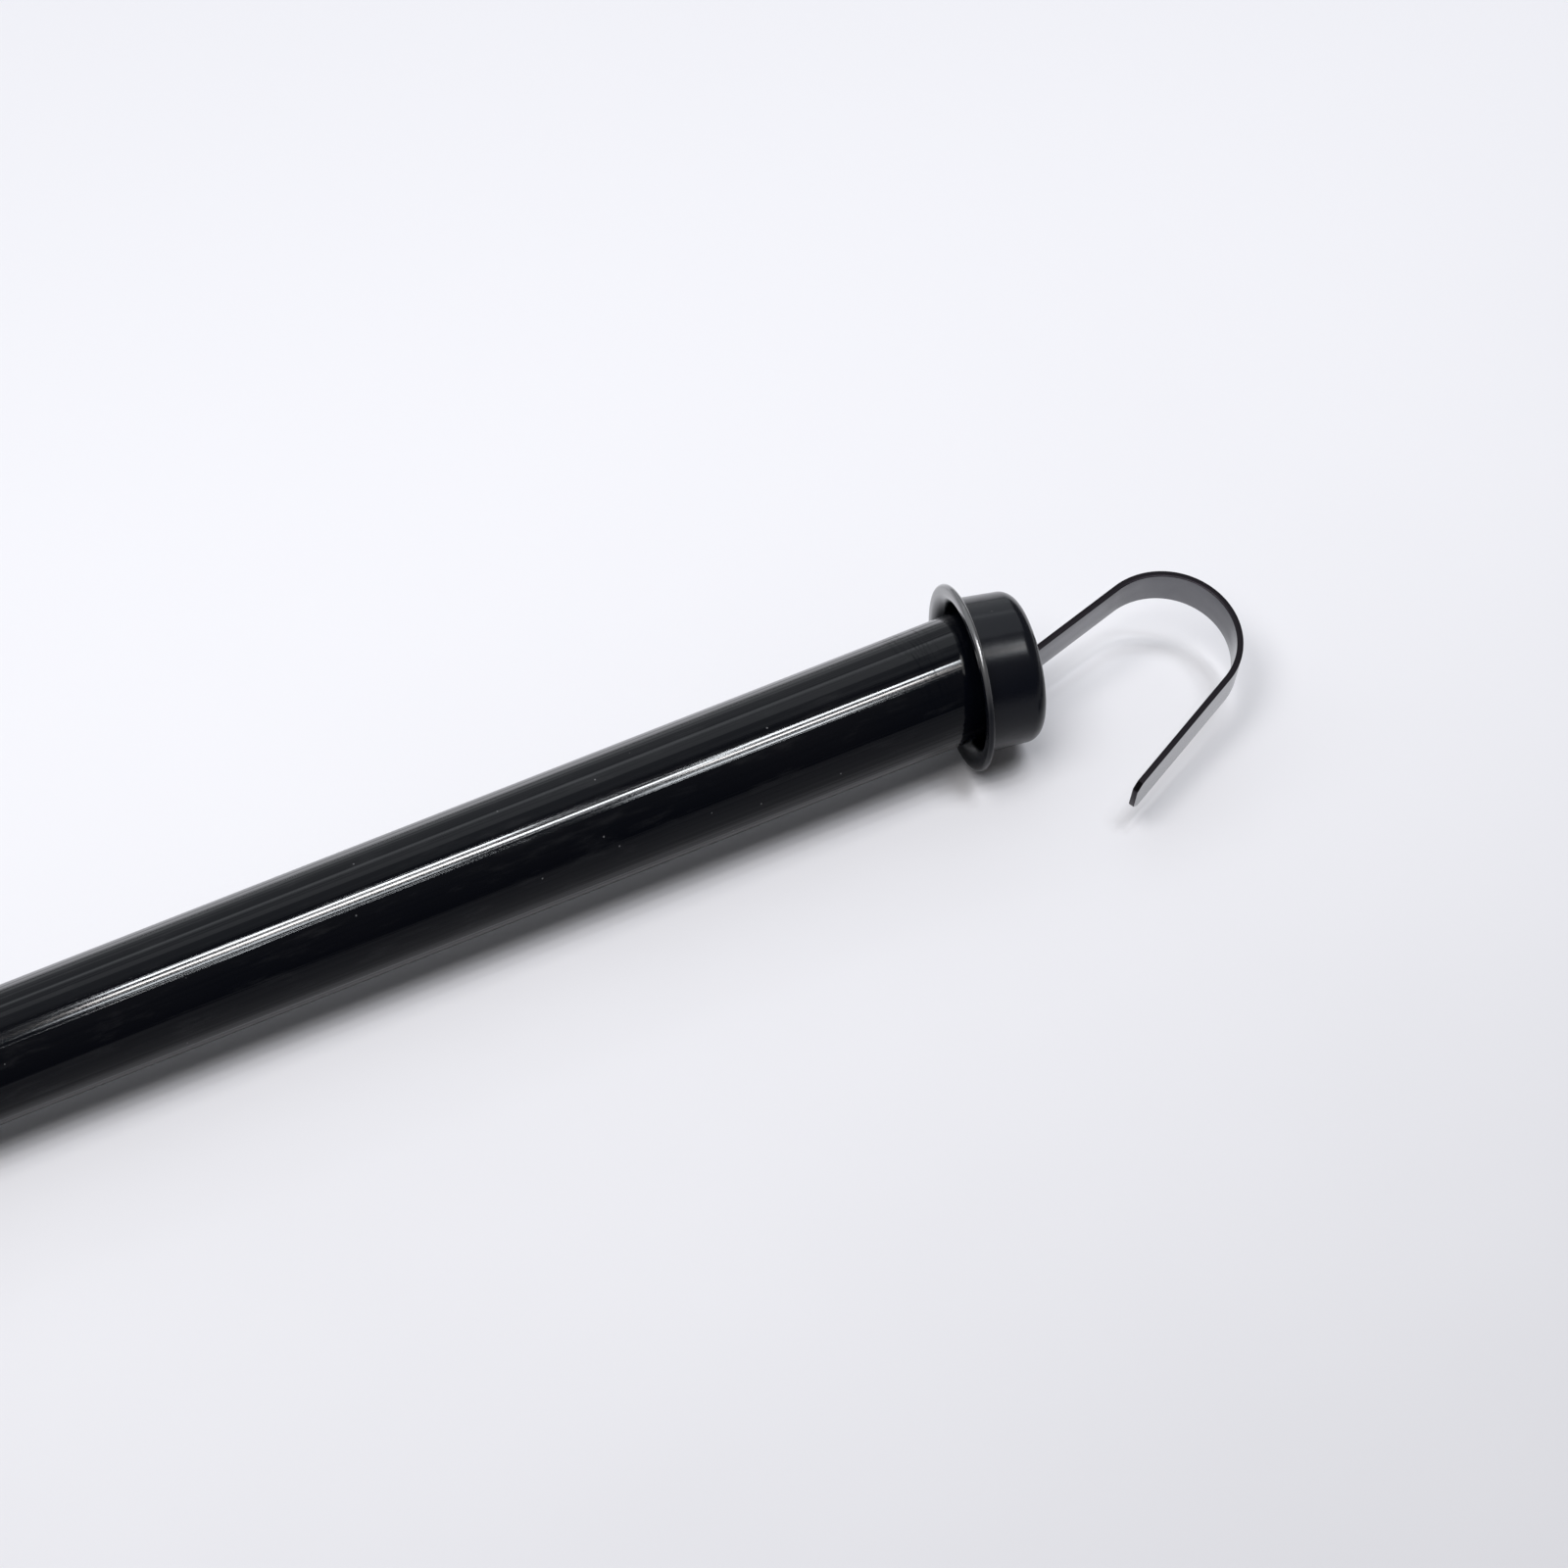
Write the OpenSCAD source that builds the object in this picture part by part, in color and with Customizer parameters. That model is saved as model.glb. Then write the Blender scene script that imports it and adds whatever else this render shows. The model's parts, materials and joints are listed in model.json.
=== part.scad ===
// Telescopic door security bar with a hook and loose flanged cup at one end
// and a pivoting rubber foot at the other.
// The bar's axis is X, with the hook end at +X and Z up as the bar lies down.
// The origin is the centre of the foot's sole.

/* [Outer tube] */
// Outside diameter of the outer tube
outer_d = 32; // [26:0.5:40]
// Wall of the outer tube
outer_wall = 1.5; // [1:0.1:2]
// Length of the outer tube
outer_len = 640; // [520:10:800]
// Number of locking holes in the outer tube
hole_count = 7; // [3:1:8]
// Distance between locking holes
hole_pitch = 40; // [20:5:45]

/* [Inner tube] */
// Wall of the inner tube
inner_wall = 1.5; // [1:0.1:2]
// Radial gap between the two tubes
tube_gap = 0.3; // [0.2:0.05:0.6]
// Length of inner tube seen when the bar is shut
inner_show = 62; // [40:2:120]
// Length of inner tube that stays inside at full stretch
inner_hold = 102; // [70:2:160]

/* [Locking button] */
// Diameter of the button
button_d = 8; // [6:0.5:10]
// Radial gap round the button in each tube
button_gap = 0.25; // [0.15:0.05:0.5]
// Height of the button over the outer tube
button_rise = 1.6; // [1:0.1:2.5]
// Distance from the button to the inner tube's hidden end
button_setback = 40; // [30:1:60]
// Thickness of the button's leaf spring
leaf_t = 0.8; // [0.5:0.1:1]
// Width of the button's leaf spring
leaf_w = 11; // [9.5:0.5:12]
// Length of the leaf spring from the button to its fold
leaf_len = 34; // [24:1:38]

/* [Slide bearings] */
// Radial gap between the inner tube's bush and the outer tube
bush_gap = 0.1; // [0.05:0.05:0.2]
// Length of the bush beyond the inner tube
bush_head = 14; // [8:1:24]
// Length of the bush's plug inside the inner tube
bush_plug = 20; // [12:1:28]
// Wall of the collar on the outer tube's mouth
collar_wall = 3; // [2.5:0.1:5]
// Length of tube that the collar covers
collar_len = 30; // [22:1:50]
// Thickness of the collar's front lip
collar_lip = 6; // [4:0.5:10]
// Number of grip grooves round the collar
collar_grooves = 4; // [0:1:5]
// Chamfer on the collar's front edge
collar_chamfer = 1.5; // [0.5:0.1:2]
// Distance of the collar's screws from the outer tube's mouth
collar_screw_back = 8; // [6:0.5:12]
// Wall of the bush
bush_wall = 3; // [2:0.1:5]

/* [Hook strip] */
// Width of the strip
strip_w = 11.3; // [9:0.1:13]
// Thickness of the strip
strip_t = 1.65; // [1.2:0.05:2]
// Inside radius of the hook's curl
curl_inner_r = 17.7; // [14:0.1:22]
// Angle that the curl turns through
curl_turn = 168.3; // [150:0.1:180]
// Angle of the hook's first leg to the bar
leg_angle = 15.5; // [12:0.1:19]
// Length of the first leg outside the cup
leg_len = 30.7; // [26:0.1:40]
// Length of the hook's free leg
tip_len = 40.5; // [30:0.5:50]
// Chamfer on the corners of the tip
tip_chamfer = 2; // [0:0.1:3]
// Roll of the hook's plane about the bar
hook_roll = 14; // [0:1:30]
// Distance of the strip from the bar's axis where it leaves the cup
leg_exit_y = -3.5; // [-4:0.1:-2.6]
// Distance of the strip from the bar's axis inside the tube
shank_y = -5; // [-6:0.1:-4.6]
// Length of strip held in the plug
shank_len = 32; // [30:1:40]
// Inside radius of the strip's bend at the tube's mouth
shank_bend_r = 2; // [1:0.5:3]

/* [Cup] */
// Radial play of the cup on the outer tube
cup_play = 2.6; // [2.4:0.1:3.2]
// Wall of the cup
cup_wall = 1.2; // [1:0.1:1.6]
// Depth of the cup outside
cup_depth = 17.7; // [17:0.1:22]
// Narrowing of the cup's radius from mouth to closed end
cup_draft = 0.5; // [0:0.1:1]
// Outside radius of the closed end's corner
cup_corner_r = 4; // [2.5:0.1:5]
// Width of the brim beyond the cup's wall
brim_w = 4.2; // [3:0.1:7]
// Thickness of the brim
brim_t = 1.2; // [1:0.1:1.6]
// Radius of the fillet between brim and cup
brim_root_r = 1.2; // [0.6:0.1:1.4]
// Radius of the cup's rounded mouth
throat_r = 1.6; // [1:0.1:2]
// Angle at which the loose cup sits to the bar
cup_tilt = 10; // [6:0.5:12]
// Length of tube inside the cup
tube_in_cup = 9; // [7:0.1:10]
// Gap round the strip in the cup's slot
slot_gap = 0.45; // [0.3:0.05:0.8]
// Thickness of the retaining clip
clip_t = 0.8; // [0.5:0.1:1]
// Width of the retaining clip along the strip's thickness
clip_w = 8; // [7:0.5:9]
// Height of the retaining clip along the strip's width
clip_h = 16; // [14:0.5:17]
// Depth of the clip's turned rim
clip_rim = 1.8; // [1:0.1:2]
// Distance of the clip from where the strip leaves the cup
clip_back = 3.9; // [3.8:0.1:4.4]

/* [End plug] */
// Length of the plug in the tube's mouth
plug_len = 35; // [34:1:60]
// Distance of the plug's face inside the tube's mouth
plug_inset = 1; // [0.5:0.5:3]
// Diameter of the pins through the strip
shank_pin_d = 3; // [2:0.5:4]
// Distance between the pins
shank_pin_pitch = 14; // [10:1:16]
// Diameter of the screws in the plug and collar
screw_d = 3.5; // [3:0.5:4]

/* [Foot] */
// Distance from the sole to the pivot
pivot_x = 34; // [30:0.5:50]
// Width of the rubber sole across the bar
sole_w = 68; // [58:1:100]
// Thickness of the rubber under the plate
sole_t = 9; // [7:0.5:14]
// Depth of the tread's grooves
tread_depth = 2; // [1:0.5:3]
// Rubber round the edge of the plate
sole_edge = 3; // [2:0.5:5]
// Thickness of the foot's plate
plate_t = 3; // [2:0.5:4]
// Thickness of the pressed bracket
bracket_t = 2.5; // [2:0.5:3]
// Thickness of the plug's tongue
tongue_t = 12; // [10:0.5:14]
// Thickness of the plastic washers beside the tongue
thrust_t = 1.8; // [1:0.1:2.5]
// Diameter of the pivot bolt
bolt_d = 8; // [6:0.5:9]
// Diameter of the rivets in the bracket and the plug
rivet_d = 4; // [3:0.5:5]

/* [Fits] */
// Radial gap of a pressed or fixed fit
fixed_gap = 0.03; // [0.02:0.01:0.05]
// Radial gap of a running fit
running_gap = 0.06; // [0.03:0.01:0.1]
// Side gap between faces that turn on each other
face_gap = 0.1; // [0.05:0.05:0.2]

/* [Hidden] */
$fn = 96;

// A cut goes this far past the face that it opens
past = 1;
// Straight stretches of strip reach this far into the bends
lap = 0.05;
// and are this much inside the bends' faces
seam = 0.002;

// Tubes
outer_r = outer_d / 2;
outer_bore_r = outer_r - outer_wall;
inner_r = outer_bore_r - tube_gap;
inner_bore_r = inner_r - inner_wall;
stroke = hole_pitch * (hole_count - 1);

// Foot, from the sole towards the tube
knuckle_r = bolt_d / 2 + 5;
plug_shoulder_x = pivot_x + knuckle_r + 3;
plug_shoulder_t = 3;
foot_plug_len = 30;
inner_x0 = plug_shoulder_x + plug_shoulder_t;
bracket_x0 = sole_t + plate_t;

// Stations along the bar
outer_x0 = inner_x0 + inner_show + collar_lip;
outer_x1 = outer_x0 + outer_len;
flange_x = outer_x1 - tube_in_cup;
inner_len = inner_show + collar_lip + stroke + inner_hold;
inner_x1 = inner_x0 + inner_len;
button_x = inner_x1 - button_setback;
collar_r = outer_r + collar_wall;
collar_screw_x = outer_x0 + collar_screw_back;
foot_rivet_x = inner_x0 + foot_plug_len / 2;

// Screws, with a crosswise recess in the head
screw_head_r = screw_d * 0.9;
plug_head_t = 1.8;
plug_head_taper = 0.7;
collar_head_t = 1.6;
recess_w = 0.7;
recess_t = 0.8;

// Button and its leaf spring. The leaf rests against the inner tube's bore at
// both edges, and its flat pad is as long as the button's flange is wide.
leaf_clear = 0.15;
leaf_top = sqrt((inner_bore_r - leaf_clear) ^ 2 - (leaf_w / 2) ^ 2);
pad_len = button_d;
fold_r = 3;
leaf_run = leaf_len - pad_len / 2;
leaf_slope = asin(leaf_top / norm([leaf_run, fold_r])) - atan(fold_r / leaf_run);
button_flange_t = 1.4;
button_stem_r = button_d / 2 - 1;

// Cup
cup_bore_r = outer_r + cup_play;
cup_r = cup_bore_r + cup_wall;
cup_end_r = cup_r - cup_draft;
brim_r = cup_r + brim_w;

// Hook, in its own plane with the centre of the cup's mouth as origin
strip_half_w = strip_w / 2;
curl_r = curl_inner_r + strip_t / 2;
bend_r = shank_bend_r + strip_t / 2;
leg_dir = [cos(leg_angle), sin(leg_angle)];
leg_side = [-sin(leg_angle), cos(leg_angle)];
leg_exit_x = cup_depth * cos(cup_tilt);
leg_exit = [leg_exit_x, leg_exit_y];
curl_start = leg_exit + leg_len * leg_dir;
curl_centre = curl_start - curl_r * leg_side;
tip_angle = leg_angle - curl_turn;
tip_start = curl_centre + curl_r * [-sin(tip_angle), cos(tip_angle)];
knee_x = leg_exit_x - (leg_exit_y - shank_y) / tan(leg_angle);
knee_trim = bend_r * tan(leg_angle / 2);
shank_end_x = knee_x - knee_trim;
leg_inside = norm(leg_exit - [knee_x, shank_y]) - knee_trim;

// Plug, from the same origin as the hook
plug_face_x = tube_in_cup - plug_inset;
pin_mid_x = plug_face_x - shank_len / 2;
plug_r = outer_bore_r - fixed_gap;
// Pins and screws stop this far from the bore that they face
pin_short = 0.2;

// Foot's stack of pieces along the pivot bolt
tongue_y = tongue_t / 2;
ear_y = tongue_y + thrust_t + 2 * face_gap;
ear_out_y = ear_y + bracket_t;
washer_t = 1.6;
stack_y = ear_out_y + washer_t;
bolt_r = bolt_d / 2;
hex_r = bolt_d * 0.94;
head_t = bolt_d * 0.66;
nut_t = bolt_d * 0.81;
sleeve_wall = 1;
sole_h = 2 * brim_r;
plate_w = sole_w - 2 * sole_edge;
plate_h = sole_h - 2 * sole_edge;
rivet_y = ear_out_y + 7.5;
rivet_z = 9;
rivet_head_r = rivet_d * 0.875;
rivet_head_t = 1.4;
rivet_head_taper = 1;
rivet_seat_gap = 0.1;
bracket_edge = 5;
bracket_corner_r = 4;
plate_corner_r = 6;
sole_corner_r = plate_corner_r + 2;

// Places its children in the hook's plane
module at_hook() {
    translate([flange_x, 0, 0])
        rotate([hook_roll, 0, 0])
            children();
}

// Places its children on the cup's own axis
module at_cup() {
    at_hook()
        rotate([0, 0, -cup_tilt])
            children();
}

// Cylinder along X that starts at x
module rod_x(x, r, len) {
    translate([x, 0, 0])
        rotate([0, 90, 0])
            cylinder(r = r, h = len);
}

// Cylinder along Y between two distances
module rod_y(y0, y1, r) {
    translate([0, y1, 0])
        rotate([90, 0, 0])
            cylinder(r = r, h = y1 - y0);
}

// Tube along X
module tube_x(x, r, bore_r, len) {
    difference() {
        rod_x(x, r, len);
        rod_x(x - past, bore_r, len + 2 * past);
    }
}

// Points of an arc, for an outline
function arc(centre, r, from, to, steps) =
    [for (i = [0 : steps]) let (a = from + (to - from) * i / steps)
        centre + r * [cos(a), sin(a)]];

// Rectangle with round corners, across X
module slab(x, t, w, h, corner) {
    translate([x, 0, 0])
        rotate([90, 0, 90])
            linear_extrude(t)
                union() {
                    square([w - 2 * corner, h], center = true);
                    square([w, h - 2 * corner], center = true);
                    for (y = [-1, 1], z = [-1, 1])
                        translate([y * (w / 2 - corner), z * (h / 2 - corner)])
                            circle(corner);
                }
}

// ---------------------------------------------------------------- hook end

module outer_tube() {
    color("#17181b")
        difference() {
            tube_x(outer_x0, outer_r, outer_bore_r, outer_len);
            for (i = [0 : hole_count - 1])
                translate([button_x - i * hole_pitch, 0, 0])
                    cylinder(d = button_d + 2 * button_gap, h = outer_r + past);
            for (side = [-1, 1])
                collar_screw_hole(side);
            plug_screw_hole();
        }
}

module plug_screw_hole() {
    at_hook()
        translate([pin_mid_x, 0, -outer_r - past])
            cylinder(d = screw_d + 2 * fixed_gap, h = outer_r / 2 + past);
}

module end_plug() {
    color("#8d9096")
        difference() {
            at_hook()
                difference() {
                    rod_x(plug_face_x - plug_len, plug_r, plug_len);
                    translate([plug_face_x - plug_len - past, shank_y - strip_t / 2 - fixed_gap,
                               -strip_half_w - fixed_gap])
                        cube([plug_len + 2 * past, strip_t + 2 * fixed_gap, strip_w + 2 * fixed_gap]);
                    each_shank_pin()
                        rod_y(-outer_r, outer_r, shank_pin_d / 2 + fixed_gap);
                }
            plug_screw_hole();
        }
}

module each_shank_pin() {
    for (side = [-1, 1])
        translate([pin_mid_x + side * shank_pin_pitch / 2, 0, 0])
            children();
}

// Straight stretch of strip that starts at a point. It reaches a little into
// the bends at its ends, and is a hair thinner, so no two faces are tangent.
module strip_run(start, angle, len) {
    translate(start)
        rotate([0, 0, angle])
            translate([-lap, -strip_t / 2 + seam, -strip_half_w + seam])
                cube([len + 2 * lap, strip_t - 2 * seam, strip_w - 2 * seam]);
}

// Bent stretch of strip round a centre
module strip_bend(centre, r, from, turn) {
    translate(centre)
        rotate([0, 0, from])
            rotate_extrude(angle = turn)
                translate([r - strip_t / 2, -strip_half_w])
                    square([strip_t, strip_w]);
}

module hook_strip() {
    color("#3a3c40")
        at_hook()
            difference() {
                union() {
                    strip_run([plug_face_x - shank_len, shank_y], 0,
                              shank_end_x - plug_face_x + shank_len);
                    strip_bend([shank_end_x, shank_y + bend_r], bend_r, -90, leg_angle);
                    strip_run(leg_exit - leg_inside * leg_dir, leg_angle, leg_inside + leg_len);
                    strip_bend(curl_centre, curl_r, 90 + tip_angle, curl_turn);
                    strip_run(tip_start, tip_angle, tip_len);
                }
                each_shank_pin()
                    rod_y(-outer_r, outer_r, shank_pin_d / 2 + fixed_gap);
                translate(tip_start)
                    rotate([0, 0, tip_angle])
                        for (side = [-1, 1])
                            translate([tip_len, 0, side * strip_half_w])
                                rotate([0, 45, 0])
                                    cube([tip_chamfer * sqrt(2), 4 * strip_t,
                                          tip_chamfer * sqrt(2)], center = true);
            }
}

module shank_pins() {
    pin_half = sqrt(outer_bore_r ^ 2 - (shank_pin_d / 2) ^ 2) - pin_short;
    color("#a3a6ab")
        at_hook()
            each_shank_pin()
                rod_y(-pin_half, pin_half, shank_pin_d / 2);
}

module screw_recess() {
    for (turn = [0, 90])
        rotate([0, 0, turn])
            cube([screw_head_r, recess_w, 2 * recess_t], center = true);
}

module plug_screw() {
    color("#232427")
        at_hook()
            translate([pin_mid_x, 0, -outer_r - plug_head_t])
                difference() {
                    union() {
                        cylinder(r1 = screw_head_r - plug_head_taper, r2 = screw_head_r,
                                 h = plug_head_taper);
                        translate([0, 0, plug_head_taper])
                            cylinder(r = screw_head_r, h = plug_head_t - plug_head_taper);
                        cylinder(d = screw_d, h = plug_head_t + outer_r / 2 - past);
                    }
                    screw_recess();
                }
}

// Clip pushed on to the first leg, inside the cup
module retaining_clip() {
    color("#9a9da2")
        at_hook()
            translate(leg_exit - clip_back * leg_dir)
                rotate([0, 0, leg_angle])
                    difference() {
                        union() {
                            translate([-clip_t, -clip_w / 2, -clip_h / 2])
                                cube([clip_t, clip_w, clip_h]);
                            translate([-clip_rim, clip_w / 2 - clip_t, -clip_h / 2])
                                cube([clip_rim, clip_t, clip_h]);
                        }
                        cube([8 * clip_t, strip_t + 2 * running_gap,
                              strip_w + 2 * running_gap], center = true);
                    }
}

// Half section of the cup: radius across, depth along its axis
module cup_section() {
    corner_in = cup_corner_r - cup_wall;
    lip_r = brim_t / 2;
    root_x = cup_r + brim_root_r;
    polygon(concat(
        [[0, cup_depth - cup_wall]],
        arc([cup_end_r - cup_wall - corner_in, cup_depth - cup_wall - corner_in],
            corner_in, 90, 0, 6),
        arc([cup_bore_r + throat_r, throat_r], throat_r, 180, 270, 6),
        arc([brim_r - lip_r, lip_r], lip_r, -90, 90, 8),
        arc([root_x, brim_t + brim_root_r], brim_root_r, -90, -180, 6),
        arc([cup_end_r - cup_corner_r, cup_depth - cup_corner_r], cup_corner_r, 0, 90, 8),
        [[0, cup_depth]]));
}

module end_cup() {
    cross = leg_angle + cup_tilt;
    slot_h = strip_t / cos(cross) + cup_wall * tan(cross) + 2 * slot_gap;
    wall_mid = cup_depth - cup_wall / 2;
    // The strip's centre line, turned into the cup's own axes
    exit_u = leg_exit_x * cos(cup_tilt) - leg_exit_y * sin(cup_tilt);
    exit_v = leg_exit_x * sin(cup_tilt) + leg_exit_y * cos(cup_tilt);
    slot_v = exit_v - (exit_u - wall_mid) * tan(cross);
    color("#1c1d20")
        at_cup()
            difference() {
                rotate([0, 90, 0])
                    rotate_extrude()
                        cup_section();
                translate([wall_mid, slot_v, 0])
                    cube([3 * cup_wall, slot_h, strip_w + 2 * slot_gap], center = true);
            }
}

// ------------------------------------------------------- tubes and locking

module guide_collar() {
    groove = 1;
    groove_first = outer_x0 + collar_len - 4;
    groove_step = 3;
    color("#1b1c1e")
        difference() {
            union() {
                rod_x(outer_x0 - collar_lip + collar_chamfer, collar_r,
                      collar_len + collar_lip - collar_chamfer);
                translate([outer_x0 - collar_lip, 0, 0])
                    rotate([0, 90, 0])
                        cylinder(r1 = collar_r - collar_chamfer, r2 = collar_r, h = collar_chamfer);
            }
            rod_x(outer_x0, outer_r + fixed_gap, collar_len + past);
            rod_x(outer_x0 - collar_lip - past, inner_r + bush_gap, collar_lip + 2 * past);
            if (collar_grooves > 0)
                for (i = [0 : collar_grooves - 1])
                    translate([groove_first - i * groove_step, 0, 0])
                        rotate([0, 90, 0])
                            rotate_extrude()
                                translate([collar_r, 0])
                                    circle(groove, $fn = 24);
            for (side = [-1, 1]) {
                collar_screw_hole(side);
                collar_screw_seat(side);
            }
        }
}

module collar_screw_hole(side) {
    translate([collar_screw_x, 0, 0])
        rotate([-90 * side, 0, 0])
            translate([0, 0, outer_bore_r - past])
                cylinder(d = screw_d + 2 * fixed_gap, h = outer_wall + collar_wall + 2 * past);
}

module collar_screw_seat(side) {
    translate([collar_screw_x, 0, 0])
        rotate([-90 * side, 0, 0])
            translate([0, 0, collar_r - collar_head_t])
                cylinder(d = 2 * screw_d, h = collar_head_t + past);
}

module collar_screws() {
    // The screws stop short of the inner tube
    tip = sqrt(outer_bore_r ^ 2 - (screw_d / 2) ^ 2) + pin_short;
    head_z = collar_r - collar_head_t;
    color("#2a2b2e")
        for (side = [-1, 1])
            translate([collar_screw_x, 0, 0])
                rotate([-90 * side, 0, 0])
                    difference() {
                        union() {
                            translate([0, 0, tip])
                                cylinder(d = screw_d, h = head_z - tip + recess_w / 2);
                            translate([0, 0, head_z])
                                cylinder(r = screw_head_r, h = collar_head_t);
                        }
                        translate([0, 0, collar_r])
                            screw_recess();
                    }
}

module inner_tube() {
    color("#202124")
        difference() {
            tube_x(inner_x0, inner_r, inner_bore_r, inner_len);
            translate([button_x, 0, 0])
                cylinder(d = button_d + 2 * button_gap, h = outer_r);
            translate([foot_rivet_x, 0, 0])
                rod_y(-outer_r, outer_r, rivet_d / 2 + fixed_gap);
        }
}

module slide_bush() {
    color("#e6e4dc")
        difference() {
            union() {
                rod_x(inner_x1, outer_bore_r - bush_gap, bush_head);
                rod_x(inner_x1 - bush_plug, inner_bore_r - fixed_gap, bush_plug + past);
            }
            rod_x(inner_x1 - bush_plug - past, inner_bore_r - bush_wall,
                  bush_plug + bush_head + 2 * past);
        }
}

module snap_button() {
    dome_r = button_d;
    top = outer_r + button_rise;
    color("#c3c6ca")
        translate([button_x, 0, 0])
            union() {
                intersection() {
                    translate([0, 0, leaf_top + running_gap])
                        cylinder(d = button_d, h = top - leaf_top);
                    translate([0, 0, top - dome_r])
                        sphere(dome_r);
                }
                translate([0, 0, leaf_top - leaf_t - button_flange_t])
                    cylinder(r = button_stem_r, h = leaf_t + 2 * button_flange_t);
                translate([0, 0, leaf_top - leaf_t - button_flange_t - running_gap])
                    cylinder(r = button_d / 2, h = button_flange_t);
            }
}

// Side view of one leaf, from its pad to the fold. The sloping run reaches a
// little into the pad and the fold, and is a hair thinner than they are.
module spring_leaf() {
    translate([-pad_len / 2, leaf_top - leaf_t])
        square([pad_len, leaf_t]);
    translate([-pad_len / 2, leaf_top])
        rotate(180 + leaf_slope)
            translate([0, seam])
                square([leaf_run + lap, leaf_t - 2 * seam]);
}

// Side view of the fold, a part of a ring that both leaves run into
module spring_fold() {
    reach = 2 * fold_r;
    mouth = reach * [-sin(leaf_slope), cos(leaf_slope)];
    translate([fold_r * sin(leaf_slope) - leaf_run * cos(leaf_slope) - pad_len / 2, 0])
        intersection() {
            difference() {
                circle(fold_r);
                circle(fold_r - leaf_t);
            }
            translate([lap, 0])
                polygon([[0, 0], mouth, [-reach, mouth.y], [-reach, -mouth.y], [mouth.x, -mouth.y]]);
        }
}

// V-shaped leaf spring: one leaf carries the button, the other bears on the
// far wall, and the fold between them points towards the foot
module button_spring() {
    color("#b4b7bb")
        translate([button_x, 0, 0])
            difference() {
                rotate([90, 0, 0])
                    linear_extrude(leaf_w, center = true)
                        union() {
                            for (side = [-1, 1])
                                scale([1, side])
                                    spring_leaf();
                            spring_fold();
                        }
                cylinder(r = button_stem_r + running_gap, h = outer_r);
            }
}

// -------------------------------------------------------------------- foot

module foot_plug() {
    color("#2c2d30")
        difference() {
            union() {
                rod_x(inner_x0 - past, inner_bore_r - fixed_gap, foot_plug_len + past);
                rod_x(plug_shoulder_x, inner_r, plug_shoulder_t);
                translate([pivot_x, -tongue_y, -knuckle_r])
                    cube([plug_shoulder_x - pivot_x + past, tongue_t, 2 * knuckle_r]);
                translate([pivot_x, 0, 0])
                    rod_y(-tongue_y, tongue_y, knuckle_r);
            }
            translate([pivot_x, 0, 0])
                rod_y(-outer_r, outer_r, bolt_r + running_gap + sleeve_wall + fixed_gap);
            translate([foot_rivet_x, 0, 0])
                rod_y(-outer_r, outer_r, rivet_d / 2 + fixed_gap);
        }
}

module foot_rivet() {
    color("#8f9297")
        translate([foot_rivet_x, 0, 0])
            union() {
                rod_y(-inner_r - past, inner_r + past, rivet_d / 2);
                for (side = [-1, 1])
                    rotate([-90 * side, 0, 0])
                        translate([0, 0, inner_r])
                            cylinder(r1 = rivet_head_r, r2 = rivet_head_r - rivet_head_taper,
                                     h = rivet_head_t);
            }
}

module pivot_sleeve() {
    color("#b99a5b")
        translate([pivot_x, 0, 0])
            difference() {
                rod_y(-tongue_y, tongue_y, bolt_r + running_gap + sleeve_wall);
                rod_y(-outer_r, outer_r, bolt_r + running_gap);
            }
}

module thrust_washers() {
    color("#e3e1d9")
        translate([pivot_x, 0, 0])
            for (side = [-1, 1])
                rotate([-90 * side, 0, 0])
                    translate([0, 0, tongue_y + face_gap])
                        difference() {
                            cylinder(r = knuckle_r, h = thrust_t);
                            translate([0, 0, -past])
                                cylinder(r = bolt_r + running_gap, h = thrust_t + 2 * past);
                        }
}

module each_bracket_rivet() {
    for (y = [-1, 1], z = [-1, 1])
        translate([0, y * rivet_y, z * rivet_z])
            children();
}

module foot_bracket() {
    ear_r = knuckle_r + 1;
    color("#4a4c50")
        difference() {
            union() {
                slab(bracket_x0, bracket_t, 2 * (rivet_y + bracket_edge),
                     2 * (rivet_z + bracket_edge), bracket_corner_r);
                for (side = [-1, 1])
                    translate([0, side * (ear_y + bracket_t / 2), 0])
                        union() {
                            translate([bracket_x0, -bracket_t / 2, -ear_r])
                                cube([pivot_x - bracket_x0, bracket_t, 2 * ear_r]);
                            translate([pivot_x, 0, 0])
                                rod_y(-bracket_t / 2, bracket_t / 2, ear_r);
                        }
            }
            translate([pivot_x, 0, 0])
                rod_y(-outer_r, outer_r, bolt_r + fixed_gap);
            each_bracket_rivet()
                rod_x(0, rivet_d / 2 + fixed_gap, pivot_x);
        }
}

module foot_plate() {
    color("#5b5d61")
        difference() {
            slab(sole_t, plate_t, plate_w, plate_h, plate_corner_r);
            each_bracket_rivet()
                rod_x(0, rivet_d / 2 + fixed_gap, pivot_x);
        }
}

module bracket_rivets() {
    color("#8f9297")
        each_bracket_rivet()
            union() {
                rod_x(sole_t - past / 2, rivet_d / 2, plate_t + bracket_t + past);
                rod_x(sole_t - rivet_head_t, rivet_head_r, rivet_head_t);
                translate([bracket_x0 + bracket_t, 0, 0])
                    rotate([0, 90, 0])
                        cylinder(r1 = rivet_head_r, r2 = rivet_head_r - rivet_head_taper,
                                     h = rivet_head_t);
            }
}

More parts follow.
